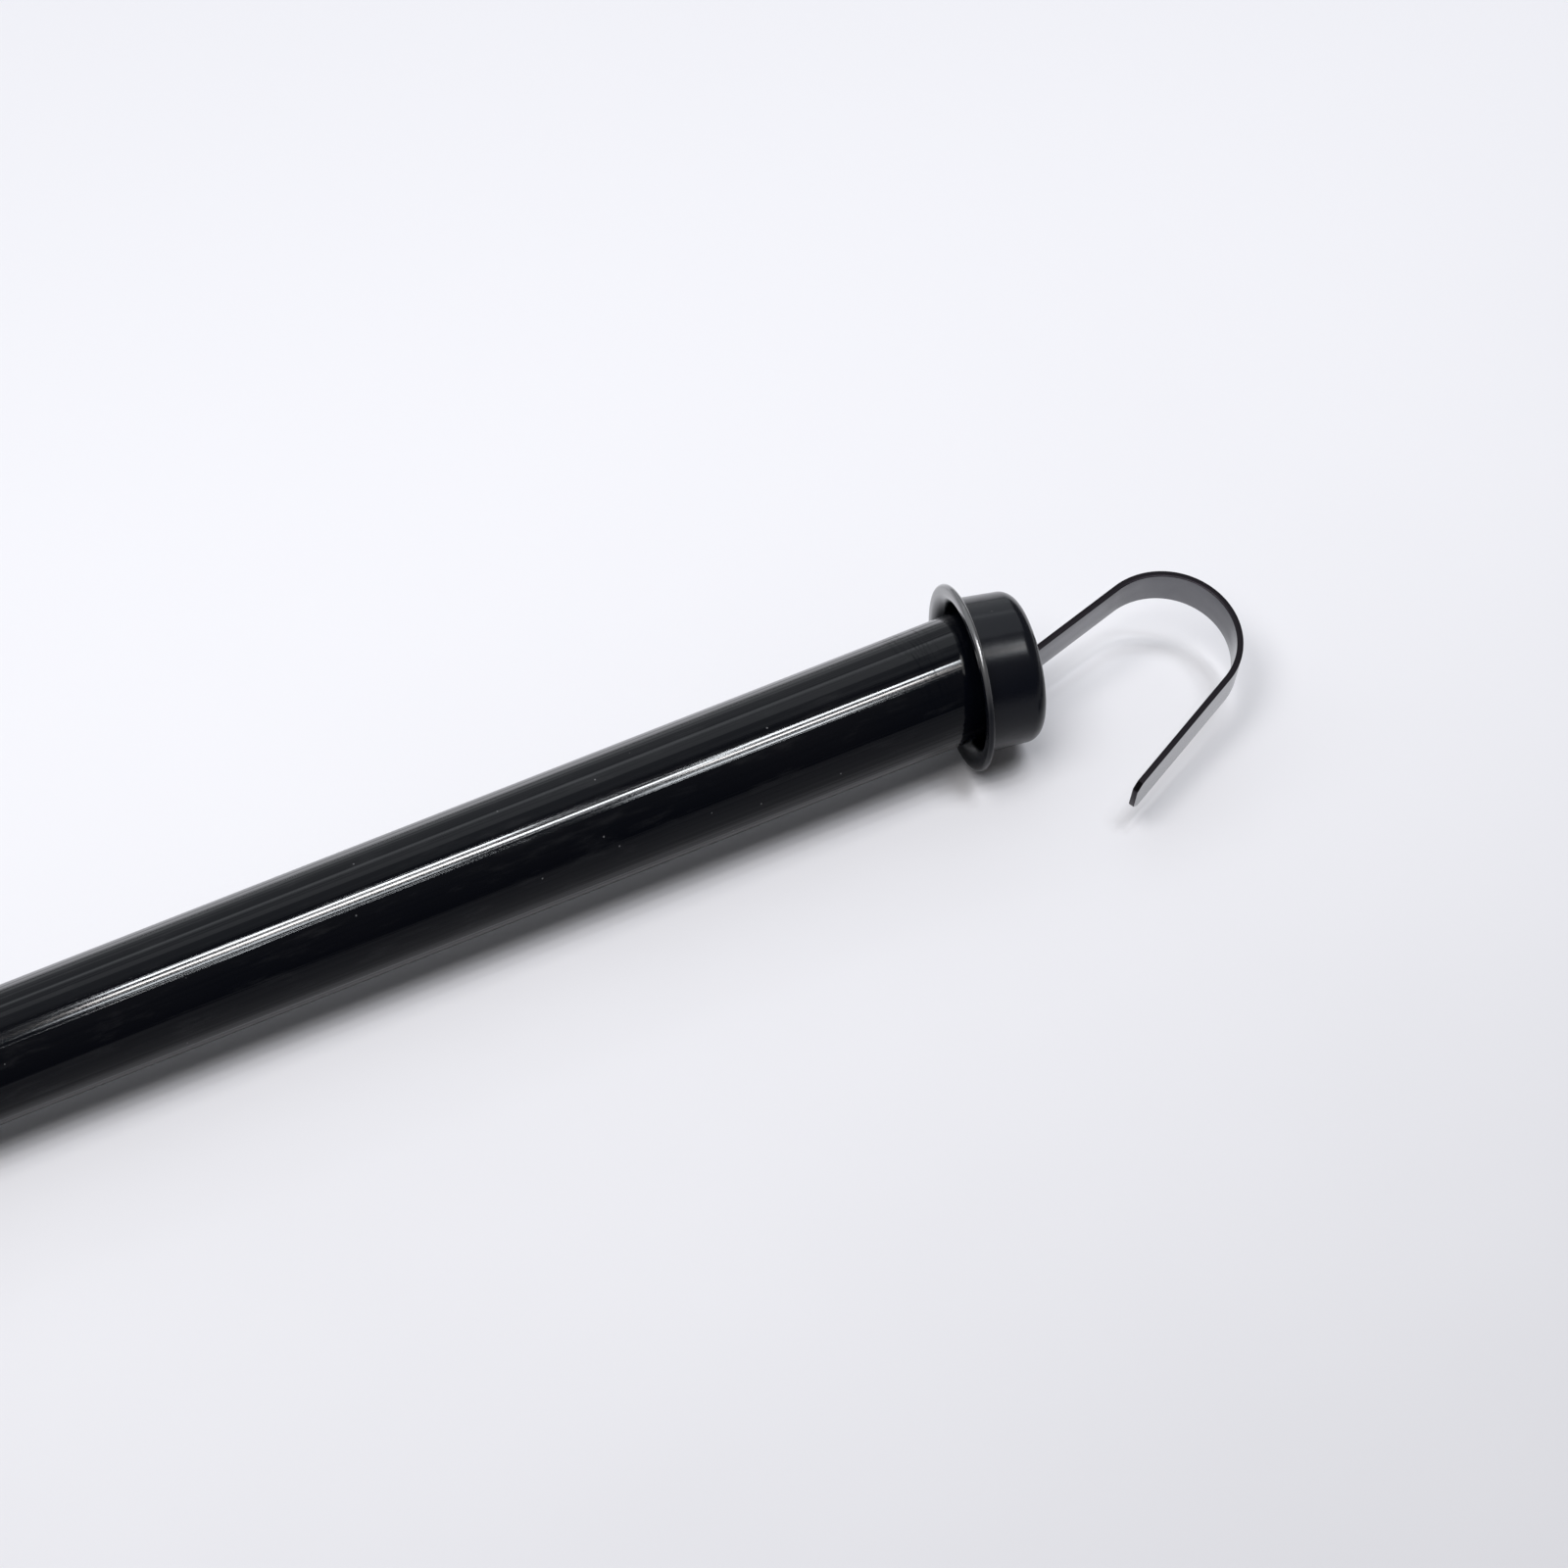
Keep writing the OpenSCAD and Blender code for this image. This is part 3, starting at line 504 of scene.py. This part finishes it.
# Distances from the two ends, counted only on the straight run next to each
far_off, order = 99.0, np.arange(len(path))
from_tip = np.where(order > len(path) - 45, np.linalg.norm(path - tip_end, axis=1), far_off)
from_shank = np.where(order < 6, np.linalg.norm(path - path[0], axis=1), far_off)
half_w = strip_w / 2 - np.clip(tip_chamfer - from_tip, 0, None)
ends = np.minimum(from_tip, from_shank)
pinch = strip_round - np.sqrt(np.clip(strip_round ** 2 - np.clip(strip_round - ends, 0, None) ** 2, 0, None))


def strip_ring(half_t, half_w, r):
    """A rectangle with quarter circles of radius r at its corners, as a closed loop."""
    corners = [(1, 1, 0), (-1, 1, 90), (-1, -1, 180), (1, -1, 270)]
    ring = [np.stack([sx * (half_t - r) + 0 * a[:, 0] + a[:, 0], sy * (half_w - r) + a[:, 1]], 1)
            for sx, sy, deg in corners for a in [arc(0, 0, r, deg, deg + 90, 4)]]
    flat = np.concatenate([np.concatenate([ring[i], run(ring[i][-1], ring[(i + 1) % 4][0], 4)[1:-1]])
                           for i in range(4)])
    return flat


rings = np.array([strip_ring(strip_t / 2 - p, w - p, strip_round - p * 0.9) for w, p in zip(half_w, pinch)])
strip_points = np.concatenate([path[:, None, :] + side[:, None, :] * rings[..., :1], rings[..., 1:2]], -1)
n_ring = rings.shape[1]
caps = [np.arange(n_ring)[::-1], (len(path) - 1) * n_ring + np.arange(n_ring)]

blued = Paint("blued_spring_steel", (0.2, 0.2, 0.205), Metallic=1.0)
here = blued.place()
mottle = blued.noise(here, 240.0, 4.0, 0.6)
fine = blued.noise(here, 3000.0, 2.0)
rolled = blued.noise(blued.place(scale=(60, 60, 900)), 1.0, 3.0)
toward_tip = -blued.along(here, plane_y)
# Paler metal over the return leg: rubbed wear and a painted reflection, lighter than the blued faces.
tip_wear_and_sheen = (toward_tip + mottle * 0.004).above(0.027, 0.010)
face_colour = blued.mix(tip_wear_and_sheen, blued.mix(mottle, (0.12, 0.121, 0.13), (0.17, 0.17, 0.178)),
                        (0.42, 0.42, 0.425))

# Painted shade: the cut edges are coloured darker than the faces: both sides, the tip's end and its two
# chamfers.
tip_way = tip_dir[0] * plane_x + tip_dir[1] * plane_y
past_tip = blued.along(here, tip_way) - float(in_hook_plane([*tip_end, 0.0]) @ tip_way) * MM
off_middle = abs(blued.along(here, plane_n) - float(mouth @ plane_n) * MM)
side_cut = off_middle.above((strip_w / 2 - 0.12) * MM, 0.08 * MM)
chamfer_cut = (off_middle + past_tip).above((strip_w / 2 - tip_chamfer - 0.14) * MM, 0.08 * MM)
end_cut = past_tip.above(-0.12 * MM, 0.08 * MM)
tip_cut = (1 - (1 - end_cut) * (1 - chamfer_cut)) * toward_tip.above(0.03, 0.005)
dark_edge_shade = 1 - (1 - side_cut) * (1 - tip_cut)
blued.set("Base Color", blued.mix(dark_edge_shade, face_colour, (0.024, 0.021, 0.025)))
blued.set("Roughness", 0.17 + 0.05 * mottle + 0.04 * rolled + 0.1 * dark_edge_shade)
blued.bump(rolled * 0.3 + fine * 0.2, 0.10, 0.0002)
make_piece("hook_blade", in_hook_plane(strip_points).reshape(-1, 3),
           [*close_grid(len(path), n_ring, False, True).tolist(), *[c.tolist() for c in caps]],
           blued, "bar", ["hook_strip"], crease=35)

# ------------------------------------------------- plug, pins, screw and clip
# Inside the tube's end: a turned aluminium plug with a milled slot, two steel
# pins through plug and strip, a black screw from below, and a push-on clip.

turned = Paint("turned_aluminium", (0.5, 0.51, 0.53), Metallic=1.0)
rings = turned.noise(turned.place(scale=(5200, 30, 30)), 1.0, 2.0)
blotch = turned.noise(turned.place(), 180.0, 3.0)
turned.set("Base Color", turned.mix(blotch, (0.42, 0.43, 0.45), (0.58, 0.59, 0.6)))
turned.set("Roughness", 0.28 + 0.16 * rings)
turned.bump(rings, 0.3, 0.00005)
turned.wear("end_plug")

drawn_steel = Paint("bright_drawn_steel", (0.55, 0.55, 0.56), Metallic=1.0)
lines = drawn_steel.noise(drawn_steel.place(scale=(900, 900, 900)), 1.0, 3.0)
stain = drawn_steel.noise(drawn_steel.place(), 320.0, 4.0, 0.6)
drawn_steel.set("Base Color", drawn_steel.mix(stain, (0.42, 0.42, 0.43), (0.62, 0.62, 0.63)))
drawn_steel.set("Roughness", 0.22 + 0.18 * stain)
drawn_steel.bump(lines, 0.25, 0.00004)
drawn_steel.wear("shank_pins")

clip_steel = Paint("tempered_clip_steel", (0.3, 0.3, 0.31), Metallic=1.0)
heat = clip_steel.noise(clip_steel.place(), 420.0, 3.0)
clip_steel.set("Base Color", clip_steel.mix(heat, (0.22, 0.22, 0.25), (0.36, 0.34, 0.31)))
clip_steel.set("Roughness", 0.3 + 0.15 * heat)
clip_steel.bump(heat, 0.2, 0.0001)
clip_steel.wear("retaining_clip")

screw_black = Paint("black_zinc_screw", (0.03, 0.03, 0.033), Metallic=0.6)
film = screw_black.noise(screw_black.place(), 900.0, 3.0)
screw_black.set("Base Color", screw_black.mix(film, (0.02, 0.02, 0.023), (0.07, 0.07, 0.074)))
screw_black.set("Roughness", 0.3 + 0.2 * film)
screw_black.bump(film, 0.3, 0.00006)
screw_black.wear("plug_screw")

# --------------------------------------------------------------- guide collar
# Moulded black nylon collar pressed over the outer tube's far mouth, with a
# lip that guides the inner tube, four grip grooves and two sunk screws.

collar_x0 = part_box("guide_collar")[0].x / MM
collar_x1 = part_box("guide_collar")[1].x / MM
collar_r, collar_bore, collar_seat = 19.0, 14.3, 16.03
front_chamfer, groove_r, seat_r, seat_level = 1.5, 1.0, 3.5, 17.4
soft = 0.5
seat_reach = 5.4
collar_holes = [(collar_screw_x, a, seat_r, seat_reach, 9) for a in (0, 180)]
screw_ways = [(collar_screw_x, a, pilot_r, seat_reach, 9) for a in (0, 180)]
x_list = [collar_x0, collar_x0 + 0.1, collar_x0 + front_chamfer, collar_x0 + front_chamfer + 0.4]
r_list = [collar_r - front_chamfer - 0.35, collar_r - front_chamfer, collar_r - 0.1, collar_r]
block = np.linspace(collar_screw_x - seat_reach, collar_screw_x + seat_reach, 19)
x_list += list(block)
r_list += [collar_r] * len(block)
groove_middles = (134, 137, 140, 143)
for middle in groove_middles:
    swing = np.radians(np.linspace(180, 0, 11))
    x_list += list(middle + groove_r * np.cos(swing))
    r_list += list(collar_r - groove_r * np.sin(swing))
curve = np.radians(np.linspace(90, 0, 7))
x_list += list(collar_x1 - soft + soft * np.cos(curve))
r_list += list(collar_r - soft + soft * np.sin(curve))
x_way = np.concatenate([[collar_x0, collar_x0 + 0.4], [tube_x0, tube_x0], block,
                        [collar_x1 - 0.3, collar_x1]])
r_way = np.concatenate([[collar_bore + 0.4, collar_bore], [collar_bore, collar_seat],
                        np.full(len(block), collar_seat), [collar_seat, collar_seat + 0.3]])
points, faces = pierced_tube(np.array(x_list), np.array(r_list), x_way, r_way, collar_holes, ROUND,
                             inner_holes=screw_ways, seat=[(seat_r, seat_level), (pilot_r, seat_level)])
nylon = Paint("black_moulded_nylon", (0.012, 0.012, 0.013), IOR=1.5)
here = nylon.place()
spark = nylon.noise(here, 2600.0, 2.0, 0.6)
flow = nylon.noise(here, 70.0, 4.0, 0.6)
handled = nylon.noise(here, 220.0, 3.0)
nylon.set("Base Color", nylon.mix(flow, (0.009, 0.009, 0.010), (0.018, 0.018, 0.0185)))
nylon.set("Roughness", 0.38 + 0.18 * handled)
nylon.bump(spark, 0.5, 0.00007)
make_piece("collar_body", points, faces, nylon, "bar", ["guide_collar"], crease=38)
screw_black.wear("collar_screws")

# ----------------------------------------------------------------- inner tube
# The tube that slides out towards the foot, a close fit in the collar and
# bush. The same gloss black, rubbed in fine lines along its length.

inner_r, inner_bore = 14.2, 12.7
inner_x0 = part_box("inner_tube")[0].x / MM
inner_x1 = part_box("inner_tube")[1].x / MM
button_x, foot_rivet_x = inner_x1 - 40, inner_x0 + 15
rivet_hole_r = 2.03
inner_holes = [(button_x, 90, button_hole_r, button_reach, 13)]
inner_holes += [(foot_rivet_x, side_angle, rivet_hole_r, 3.4, 7) for side_angle in (0, 180)]
edge = 0.3
x_skin = stations(inner_x0 + edge, inner_x1 - edge, 12, inner_holes)
x_tube = np.concatenate([[inner_x0, inner_x0 + edge * 0.3], x_skin, [inner_x1 - edge * 0.3, inner_x1]])
r_tube = np.concatenate([[inner_r - edge, inner_r - edge * 0.3], np.full(len(x_skin), inner_r),
                         [inner_r - edge * 0.3, inner_r - edge]])
x_bore = np.concatenate([[inner_x0], x_skin, [inner_x1]])
r_bore = np.full(len(x_bore), inner_bore)
points, faces = pierced_tube(x_tube, r_tube, x_bore, r_bore, inner_holes, ROUND, rim=0.2)
rubbed = Paint("rubbed_black_paint", (0.004, 0.004, 0.0045), IOR=1.36)
along = rubbed.noise(rubbed.place(scale=(3, 1400, 1400)), 1.0, 3.0, 0.6)
drag = rubbed.noise(rubbed.place(scale=(9, 420, 420)), 1.0, 4.0, 0.65).above(0.60, 0.08)
haze = rubbed.noise(rubbed.place(), 40.0, 3.0)
paint_colour = rubbed.mix(haze, (0.003, 0.003, 0.0035), (0.007, 0.0068, 0.0066))
rubbed.set("Base Color", rubbed.mix(drag * 0.5, paint_colour, (0.035, 0.035, 0.037)))
rubbed.set("Roughness", 0.10 + 0.22 * drag + 0.05 * haze)
rubbed.bump(along + drag * 0.6, 0.5, 0.00005)
make_piece("tube_inner", points, faces, rubbed, "leg", ["inner_tube"], crease=40)

# ---------------------------------------------- bush, locking button and spring
# A white nylon bush plugs the inner tube's hidden end. A domed steel button
# stands through both tubes, on a V of flat spring steel.

white_nylon = Paint("white_moulded_nylon", (0.78, 0.76, 0.70), IOR=1.5)
cloud = white_nylon.noise(white_nylon.place(), 90.0, 3.0)
rub = white_nylon.noise(white_nylon.place(scale=(12, 700, 700)), 1.0, 3.0).above(0.6, 0.1)
clean = white_nylon.mix(cloud, (0.72, 0.70, 0.63), (0.82, 0.80, 0.75))
white_nylon.set("Base Color", white_nylon.mix(rub * 0.35, clean, (0.45, 0.44, 0.41)))
white_nylon.set("Roughness", 0.4 + 0.15 * cloud)
white_nylon.bump(rub + cloud * 0.3, 0.3, 0.0001)
white_nylon.wear("slide_bush")
clip_steel.wear("button_spring")


def eased_copy(name, node, paint, body, width, crease=35):
    """A copy of a CAD node's mesh with its doubles merged and its sharp edges rounded over."""
    mesh = frame["nodes"][node].data.copy()
    mesh.name = name
    shell = bmesh.new()
    shell.from_mesh(mesh)
    bmesh.ops.remove_doubles(shell, verts=shell.verts, dist=2e-6)
    bmesh.ops.dissolve_limit(shell, angle_limit=np.radians(0.4), verts=shell.verts, edges=shell.edges)
    shell.to_mesh(mesh)
    shell.free()
    piece = bpy.data.objects.new(name, mesh)
    bpy.context.scene.collection.objects.link(piece)
    mesh.shade_smooth()
    mesh.materials.clear()
    mesh.materials.append(paint.material)
    bevel = piece.modifiers.new("eased_edges", "BEVEL")
    bevel.width = width * MM
    bevel.segments = 3
    bevel.limit_method = "ANGLE"
    bevel.angle_limit = np.radians(crease)
    bevel.harden_normals = True
    weld = piece.modifiers.new("slivers_closed", "WELD")
    weld.merge_threshold = 6e-6
    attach(piece, body)
    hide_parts(node)


eased_copy("lock_button", "snap_button", drawn_steel, "button", 0.15)

# ------------------------------------------------------- foot plug and its rivet
# Cast zinc plug riveted in the inner tube's outer end, with a flat tongue
# whose eye has a brass sleeve, and white thrust washers on both sides.

cast = Paint("black_cast_zinc", (0.02, 0.02, 0.021), IOR=1.5)
here = cast.place()
sand = cast.noise(here, 1500.0, 4.0, 0.7)
patch = cast.noise(here, 120.0, 3.0)
chip = cast.noise(here, 380.0, 5.0, 0.7).above(0.72, 0.02)
whole = cast.mix(patch, (0.012, 0.012, 0.013), (0.028, 0.028, 0.029))
cast.set("Base Color", cast.mix(chip, whole, (0.3, 0.3, 0.31)))
cast.set("Metallic", chip * 0.8)
cast.set("Roughness", 0.5 + 0.12 * patch - 0.15 * chip)
cast.bump(sand, 0.6, 0.00018)
eased_copy("foot_casting", "foot_plug", cast, "leg", 0.5)

rivet_shank_r, rivet_head_r, rivet_round, rivet_sink = 2.0, 3.4, 0.9, 0.12
rivet_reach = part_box("foot_rivet")[1].y / MM
head_seat = inner_r - rivet_sink
top = np.stack([rivet_head_r * 0.55 * np.linspace(0.3, 1, 4), np.full(4, rivet_reach)], 1)
half_rivet = np.concatenate([[[0.0, rivet_reach]], top,
                             arc(rivet_head_r - rivet_round, rivet_reach - rivet_round, rivet_round,
                                 80, 0, 6),
                             [[rivet_head_r, head_seat], [rivet_shank_r, head_seat], [rivet_shank_r, 0.0]]])
radius = np.concatenate([half_rivet[:, 0], half_rivet[-2::-1, 0]])
height = np.concatenate([half_rivet[:, 1], -half_rivet[-2::-1, 1]])
rivet_steps = 48
spin = 2 * np.pi * np.arange(rivet_steps) / rivet_steps
ring = np.stack([foot_rivet_x + radius[:, None] * np.cos(spin), height[:, None] + 0 * spin,
                 radius[:, None] * np.sin(spin)], -1)
make_piece("cross_rivet", ring.reshape(-1, 3), close_grid(len(radius), rivet_steps, False, True), drawn_steel,
           "leg", ["foot_rivet"], crease=50)
brass = Paint("brass_sleeve", (0.62, 0.45, 0.18), Metallic=1.0)
tarnish = brass.noise(brass.place(), 500.0, 4.0)
brass.set("Base Color", brass.mix(tarnish, (0.46, 0.31, 0.11), (0.70, 0.52, 0.24)))
brass.set("Roughness", 0.25 + 0.25 * tarnish)
brass.bump(tarnish, 0.2, 0.00005)
brass.wear("pivot_sleeve")
eased_copy("side_washers", "thrust_washers", white_nylon, "leg", 0.2)

# ----------------------------------------------------------------- foot bracket
# A bracket pressed from 2.5 mm steel with two ears, riveted to the plate that
# stiffens the sole. Both satin black; four domed rivets, heads rubbed bright.

eased_copy("ear_bracket", "foot_bracket", satin, "foot", 0.45)
eased_copy("sole_plate", "foot_plate", satin, "foot", 0.35)

rivet_r, head_r, head_t = 2.0, 3.5, 1.4
plate_x, bracket_top = 9.0, 14.5
dome = np.radians(np.linspace(90, 0, 9))
profile = np.concatenate([
    [[plate_x - head_t, 0.0]],
    np.stack([plate_x - head_t + 0.25 - 0.25 * np.sin(dome), head_r - 0.25 + 0.25 * np.cos(dome)], 1),
    [[plate_x, head_r], [plate_x, rivet_r], [bracket_top, rivet_r], [bracket_top, head_r]],
    np.stack([bracket_top + head_t * np.sin(dome[::-1]), head_r * np.cos(dome[::-1])], 1)])
rivet = np.stack([np.repeat(profile[:, :1], rivet_steps, 1), profile[:, 1:] * np.cos(spin),
                  profile[:, 1:] * np.sin(spin)], -1)
seats = [(y, z) for y in (-18, 18) for z in (-9, 9)]
points = np.concatenate([(rivet + [0, y, z]).reshape(-1, 3) for y, z in seats])
faces = np.concatenate([close_grid(len(profile), rivet_steps, False, True, i * len(profile) * rivet_steps)
                        for i in range(len(seats))])
rivet_steel = Paint("rubbed_black_rivet", (0.05, 0.05, 0.052), Metallic=0.9)
rub = rivet_steel.noise(rivet_steel.place(), 700.0, 4.0, 0.6).above(0.5, 0.14)
rivet_steel.set("Base Color", rivet_steel.mix(rub, (0.05, 0.05, 0.053), (0.42, 0.42, 0.43)))
rivet_steel.set("Roughness", 0.42 - 0.12 * rub)
rivet_steel.bump(rub, 0.2, 0.00005)
make_piece("domed_rivets", points, faces, rivet_steel, "foot", ["bracket_rivets"], crease=50)

# ------------------------------------------------------------------ rubber sole
# Moulded black rubber with grooves across it, vulcanised round the plate.

rubber = Paint("black_rubber", (0.016, 0.016, 0.0165), IOR=1.45)
here = rubber.place()
pore = rubber.noise(here, 1900.0, 3.0, 0.65)
bloom = rubber.noise(here, 60.0, 4.0, 0.6)
grit = rubber.specks(here, 300.0, 0.05)
rubber.set("Base Color", rubber.mix(grit * 0.5 + bloom * 0.12, (0.013, 0.013, 0.0135), (0.12, 0.115, 0.108)))
rubber.set("Roughness", 0.68 + 0.16 * bloom)
rubber.bump(pore, 0.5, 0.00012)
eased_copy("tread_sole", "rubber_sole", rubber, "foot", 0.6)

# ------------------------------------------------------------ pivot bolt and nut
# An M8 bolt, nut and two washers, zinc plated, that the foot turns on.

pivot_x = 34.0
hex_flat = 7.52 * np.cos(np.pi / 6)
bolt_r, pitch, thread_depth = 4.0, 1.25, 0.6
head_y0, head_y1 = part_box("pivot_bolt")[0].y / MM, -12.1
bolt_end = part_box("pivot_bolt")[1].y / MM
nut_y0, nut_y1 = 12.1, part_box("pivot_nut")[1].y / MM


def hex_reach(angle):
    """Distance from the middle of a hexagon to its side at an angle."""
    return hex_flat / np.cos((angle + np.pi / 6) % (np.pi / 3) - np.pi / 6)


def round_the_pivot(y, radius, angle):
    """Points round the pivot's axis, which runs along Y."""
    y, radius, angle = np.broadcast_arrays(y, radius, angle)
    return np.stack([pivot_x + radius * np.cos(angle), y, radius * np.sin(angle)], -1)


def chamfered_hex(y, low, high, angle):
    """A hexagon whose corners are cut by a 30 degree cone at the ends in low and high."""
    reach = hex_reach(angle)[None, :] + 0 * y[:, None]
    for face, on in (low, high):
        if on:
            cone = hex_flat - 0.1 + np.abs(y - face) / np.tan(np.radians(30))
            reach = np.minimum(reach, cone[:, None])
    return reach


bolt_steps, thread_start = 144, 10.6
turn = 2 * np.pi * np.arange(bolt_steps) / bolt_steps
head_y = np.concatenate([head_y0 + np.linspace(0, 1, 12) ** 1.3, np.linspace(head_y0 + 1.4, head_y1, 6)])
head_reach = chamfered_hex(head_y, (head_y0, True), (head_y1, False), turn)
thread_y = np.arange(thread_start, bolt_end + 0.001, pitch / 9)
wind = (thread_y[:, None] / pitch + turn[None, :] / (2 * np.pi)) % 1.0
crest = np.clip(1.2 - 2.4 * np.abs(wind - 0.5), 0.0, 1.0)
run_out = np.clip((thread_y - thread_start) / 1.5, 0, 1)[:, None]
cone_end = bolt_r - 0.9 + np.clip(bolt_end - thread_y, 0, 1.0)[:, None]
thread_r = np.minimum(bolt_r - thread_depth * run_out * (1 - crest), cone_end)
bolt_rows = [round_the_pivot(head_y0, 0.0, turn), round_the_pivot(head_y0, head_reach[0] * 0.55, turn),
             *round_the_pivot(head_y[:, None], head_reach, turn[None, :]),
             *[round_the_pivot(y, bolt_r, turn) for y in (head_y1, -6, 2, 10.5)],
             *round_the_pivot(thread_y[:, None], thread_r, turn[None, :]),
             round_the_pivot(thread_y[-1], 0.0, turn)]
zinc = Paint("zinc_plated_steel", (0.6, 0.6, 0.6), Metallic=1.0)
spangle = zinc.noise(zinc.place(), 600.0, 4.0, 0.6)
tool = zinc.noise(zinc.place(scale=(300, 2500, 300)), 1.0, 2.0)
zinc.set("Base Color", zinc.mix(spangle, (0.46, 0.465, 0.47), (0.68, 0.68, 0.67)))
zinc.set("Roughness", 0.22 + 0.2 * spangle)
zinc.bump(tool * 0.5 + spangle, 0.25, 0.00006)
make_piece("pivot_bolt_m8", np.concatenate(bolt_rows),
           close_grid(len(bolt_rows), bolt_steps, False, True), zinc,
           "foot", ["pivot_bolt"], crease=32)

nut_y = np.concatenate([nut_y0 + np.linspace(0, 1.2, 12), np.linspace(nut_y0 + 1.6, nut_y1 - 1.6, 4),
                        nut_y1 - np.linspace(1.2, 0, 12)])
nut_reach = chamfered_hex(nut_y, (nut_y0, True), (nut_y1, True), turn)
nut_bore = 4.03
nut_rows = [*round_the_pivot(nut_y[:, None], nut_reach, turn[None, :]),
            *[round_the_pivot(y, r, turn) for y, r in ((nut_y1, nut_bore + 0.5), (nut_y1 - 0.5, nut_bore),
                                                       (nut_y0 + 0.5, nut_bore), (nut_y0, nut_bore + 0.5))]]
make_piece("pivot_nut_m8", np.concatenate(nut_rows), close_grid(len(nut_rows), bolt_steps, True, True), zinc,
           "foot", ["pivot_nut"], crease=32)
eased_copy("plain_washers", "pivot_washers", zinc, "foot", 0.2)

# --------------------------------------------------------- floor, light, camera
# A pale paper floor under the bar, coloured darker towards the front as a painted
# light falloff, a dim warm room, one big softbox, short rows of tube lamps
# overhead and two wide cool panels on the far side.

floor_z = cad_box[0].z
paper = bpy.data.meshes.new("paper_floor")
paper.from_pydata([(x, y, floor_z) for x, y in ((-6, -6), (7, -6), (7, 6), (-6, 6))], [], [(0, 1, 2, 3)])
floor = bpy.data.objects.new("paper_floor", paper)
bpy.context.scene.collection.objects.link(floor)
sheet = Paint("pale_paper", (0.86, 0.855, 0.885), Roughness=0.85)
where = sheet.node("ShaderNodeSeparateXYZ", None, sheet.place(), out=1)
falloff_wobble = sheet.noise(sheet.place(), 9.0, 4.0)
# Painted light falloff: the paper's colour darkens towards the front (-Y), with a noise wobble in where it
# turns.
sheet.set("Base Color", sheet.mix((where + falloff_wobble * 0.06).above(-0.12, 0.35), (0.595, 0.592, 0.620),
                                  (0.915, 0.912, 0.953)))
paper.materials.append(sheet.material)

world = bpy.data.worlds.new("soft_room")
bpy.context.scene.world = world
world.use_nodes = True
world.node_tree.nodes["Background"].inputs["Color"].default_value = (1.0, 0.97, 0.95, 1)
world.node_tree.nodes["Background"].inputs["Strength"].default_value = 0.10


def lamp(name, place, aim, size, power, tint=(1, 1, 1)):
    """A flat lamp of this length and width, its length along X, facing a point."""
    light = bpy.data.lights.new(name, "AREA")
    light.shape = "RECTANGLE"
    light.size, light.size_y = size
    light.energy = power
    light.color = tint
    lamp_object = bpy.data.objects.new(name, light)
    back = (Vector(place) - Vector(aim)).normalized()
    along = (Vector((1, 0, 0)) - back * back.x).normalized()
    lamp_object.matrix_world = Matrix.Translation(place) @ Matrix(
        (along, back.cross(along), back)).transposed().to_4x4()
    bpy.context.scene.collection.objects.link(lamp_object)


lamp("softbox", (0.24, -0.30, 1.5), (0.6, 0, 0), (0.9, 0.9), 15.0, (1.0, 0.99, 0.98))

# Fixtures over the bar: place along it, length, watts per metre, and how far in
# degrees each of its rows leans out towards -Y
ceiling = 1.5
tints = ((0.92, 0.96, 1.0), (1.0, 0.97, 0.96), (0.90, 0.95, 1.0))
fixtures = (("near", 0.985, 0.165, 9.7, (5.5, 12.5, 19.5)), ("middle", 1.118, 0.095, 9.7, (13.5,)),
            ("far", 1.214, 0.097, 9.7, (10, 17, 24)), ("tail", 1.300, 0.07, 2.2, (13, 20)))
for fixture, x, length, watts_per_metre, leans in fixtures:
    for row, lean_out in enumerate(leans):
        place = (x, -ceiling * np.tan(np.radians(lean_out)), ceiling)
        lamp("tube_lamp_%s_%d" % (fixture, row), place, (0.65, 0, 0), (length, 0.07),
             watts_per_metre * length, tints[row])
lamp("far_ceiling", (0.45, 0.75, 1.40), (0.5, 0, 0), (3.4, 1.35), 6.6, (0.90, 0.95, 1.0))
lamp("far_wall", (0.45, 1.75, 0.78), (0.5, 0, 0), (3.4, 1.5), 7.5, (0.90, 0.95, 1.0))

right = Vector((0.885, -0.4665, 0.0)).normalized()
back = Vector((-0.31, -0.588, 0.748)).normalized()
up = back.cross(right).normalized()
right = up.cross(back)
lens, distance = 270.0, 2.946
aim = Vector(mouth * MM) + right * -0.0437 + up * -0.0265
eye = bpy.data.cameras.new("eye")
eye.lens = lens
eye.sensor_width = 36
eye.clip_end = 50
camera = bpy.data.objects.new("eye", eye)
turned_round = Matrix((right, up, back)).transposed().to_4x4()
camera.matrix_world = Matrix.Translation(aim + back * distance) @ turned_round
bpy.context.scene.collection.objects.link(camera)
bpy.context.scene.camera = camera
bpy.context.scene.view_settings.view_transform = "Standard"

# ----------------------------------------------------------------------- update

bpy.context.view_layer.update()
